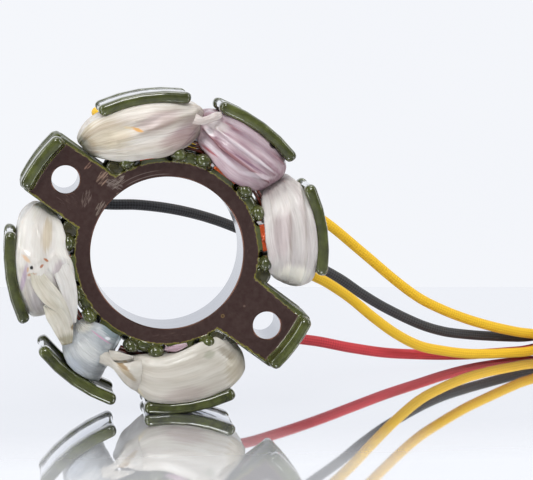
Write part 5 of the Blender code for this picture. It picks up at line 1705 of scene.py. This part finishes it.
@dataclass
class Coils:
    """All windings, wraps and the tape between them."""

    def build(self) -> None:
        """Build the coils."""
        copper = CopperEnamel("enamelled_copper", "#B43C12", "#EE6A26").build()
        # The jumpers' near-black copper is dark varnish and painted shade, for the gaps behind the front plate.
        soaked = CopperEnamel("soaked_copper", "#2A0F08", "#7A2A14").build()
        for wrap in WRAPS:
            Winding(wrap.name, wrap.pole_deg, wrap.outline, wrap.wire_r, outer_r=wrap.wire_out).build(copper)
            wrap.build()
        loose = VarnishedTape("tape_loose", "#DAD6CA", "#C9C4B4", "#A79F8C", "#E4D9CC", 0.3, 0.8, 0.3, grain=0.15, marks=(
            (-25.0, -21.5, 3.2, 2.6, 0, 0.75, "#A9A78F", UNDER), (-23.3, -17.2, 1.0, 0.6, 60, 0.8, "#B79A5C", UNDER),
            (-12.8, -27.6, 2.6, 0.8, -30, 0.7, "#B9A070", UNDER))).build()
        veil = VarnishedTape("tape_veil", "#E0DFDB", "#D3D0CA", "#B9B3AA", "#E4DCDE", 0.3, 0.8, 0.3, grain=0.15).build()
        link = VarnishedTape("tape_link", "#CAC5BB", "#C2BDB1", "#B3AC9F", "#DFD3CF", 0.25, 0.6, grain=0.1, depth=0.3,
                             marks=((-11.4, -27.4, 2.2, 0.5, -38, 0.8, "#9C8358", OVER),
                                    (-10.6, -28.8, 4.0, 0.8, -48, 0.6, "#C7B084", UNDER))).build()
        span = VarnishedTape("tape_bridge", "#CDC4BE", "#BDB2AC", "#9C8F8A", "#DACBD0", 0.3, 0.7, 0.3, grain=0.15).build()
        blush = VarnishedTape("tape_fibres", "#D9C3CC", "#B793A2", "#84606F", "#E4D0D8", 0.3, 0.6, 0.3).build()
        Ribbon("tongue_band", ((-32.4, -19.6, -3.4), (-31.2, -20.6, -6.4), (-29.3, -20.8, -9.0), (-27.0, -20.7, -11.6),
                               (-25.2, -20.2, -14.4), (-23.8, -19.4, -17.4)), (2.8, 4.4, 4.8, 3.8, 2.2, 0.8),
               (0.1, -1.0, 0.0), -0.45).build(loose)
        Ribbon("tongue", ((-30.0, -19.4, -11.4), (-28.0, -20.2, -13.6), (-26.6, -19.9, -16.0), (-25.6, -19.2, -18.8),
                          (-25.0, -18.7, -21.7)), (2.0, 4.8, 5.0, 4.3, 2.5),
               (0.1, -1.0, 0.0), 0.5).build(loose, "tape_tongue")
        Ribbon("tongue_flap", ((-26.6, -19.0, -2.2), (-25.2, -19.9, -5.6), (-24.3, -20.2, -9.2), (-23.6, -20.0, -12.7),
                               (-23.1, -19.2, -16.4)), (4.2, 4.4, 3.8, 2.4, 0.8), (0.1, -1.0, 0.0), 0.3).build(veil)
        Ribbon("bridge", ((6.6, -18.2, 33.4), (8.4, -18.9, 32.9), (10.0, -19.0, 33.3), (11.8, -18.9, 34.0),
                          (13.4, -18.0, 34.4)), (2.6, 2.0, 1.7, 1.9, 1.2), (0.1, -1.0, 0.2), 0.8).build(span, "tape_bridge_top")
        Ribbon("pinch", ((-17.2, -16.2, -24.2), (-15.6, -17.2, -25.8), (-13.6, -17.8, -27.3), (-11.8, -18.0, -28.3),
                         (-9.8, -18.2, -29.2), (-7.6, -17.4, -30.0), (-5.4, -15.2, -30.7)),
               (4.4, 3.0, 1.5, 3.6, 6.4, 8.0, 8.0), (0.0, -1.0, 0.1), 1.5).build(link, "link_tape_bottom")
        Ribbon("pinch_flap", ((-14.8, -17.0, -24.8), (-12.8, -17.7, -25.1), (-10.8, -17.5, -25.4), (-8.6, -17.0, -25.5)),
               (2.2, 2.2, 1.4, 0.5), (0.0, -1.0, 0.1), 0.3).build(link)
        Ribbon("loose_fibres", ((-0.8, -15.4, -24.1), (2.0, -16.0, -23.7), (4.8, -15.8, -22.8)), (0.6, 1.6, 0.8),
               (0.0, -1.0, 0.1), 0.5).build(blush)
        for number, (degrees, radii) in enumerate(JUMPERS):
            Jumper(f"jumper_{number + 1}", degrees, radii).build(soaked)


def main() -> None:
    """Dress the frame, piece by piece."""
    logging.basicConfig(level=logging.INFO, format="%(message)s")
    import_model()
    Stage().build()
    Harness().build()
    Core().build()
    Coils().build()


if __name__ == "__main__":
    main()
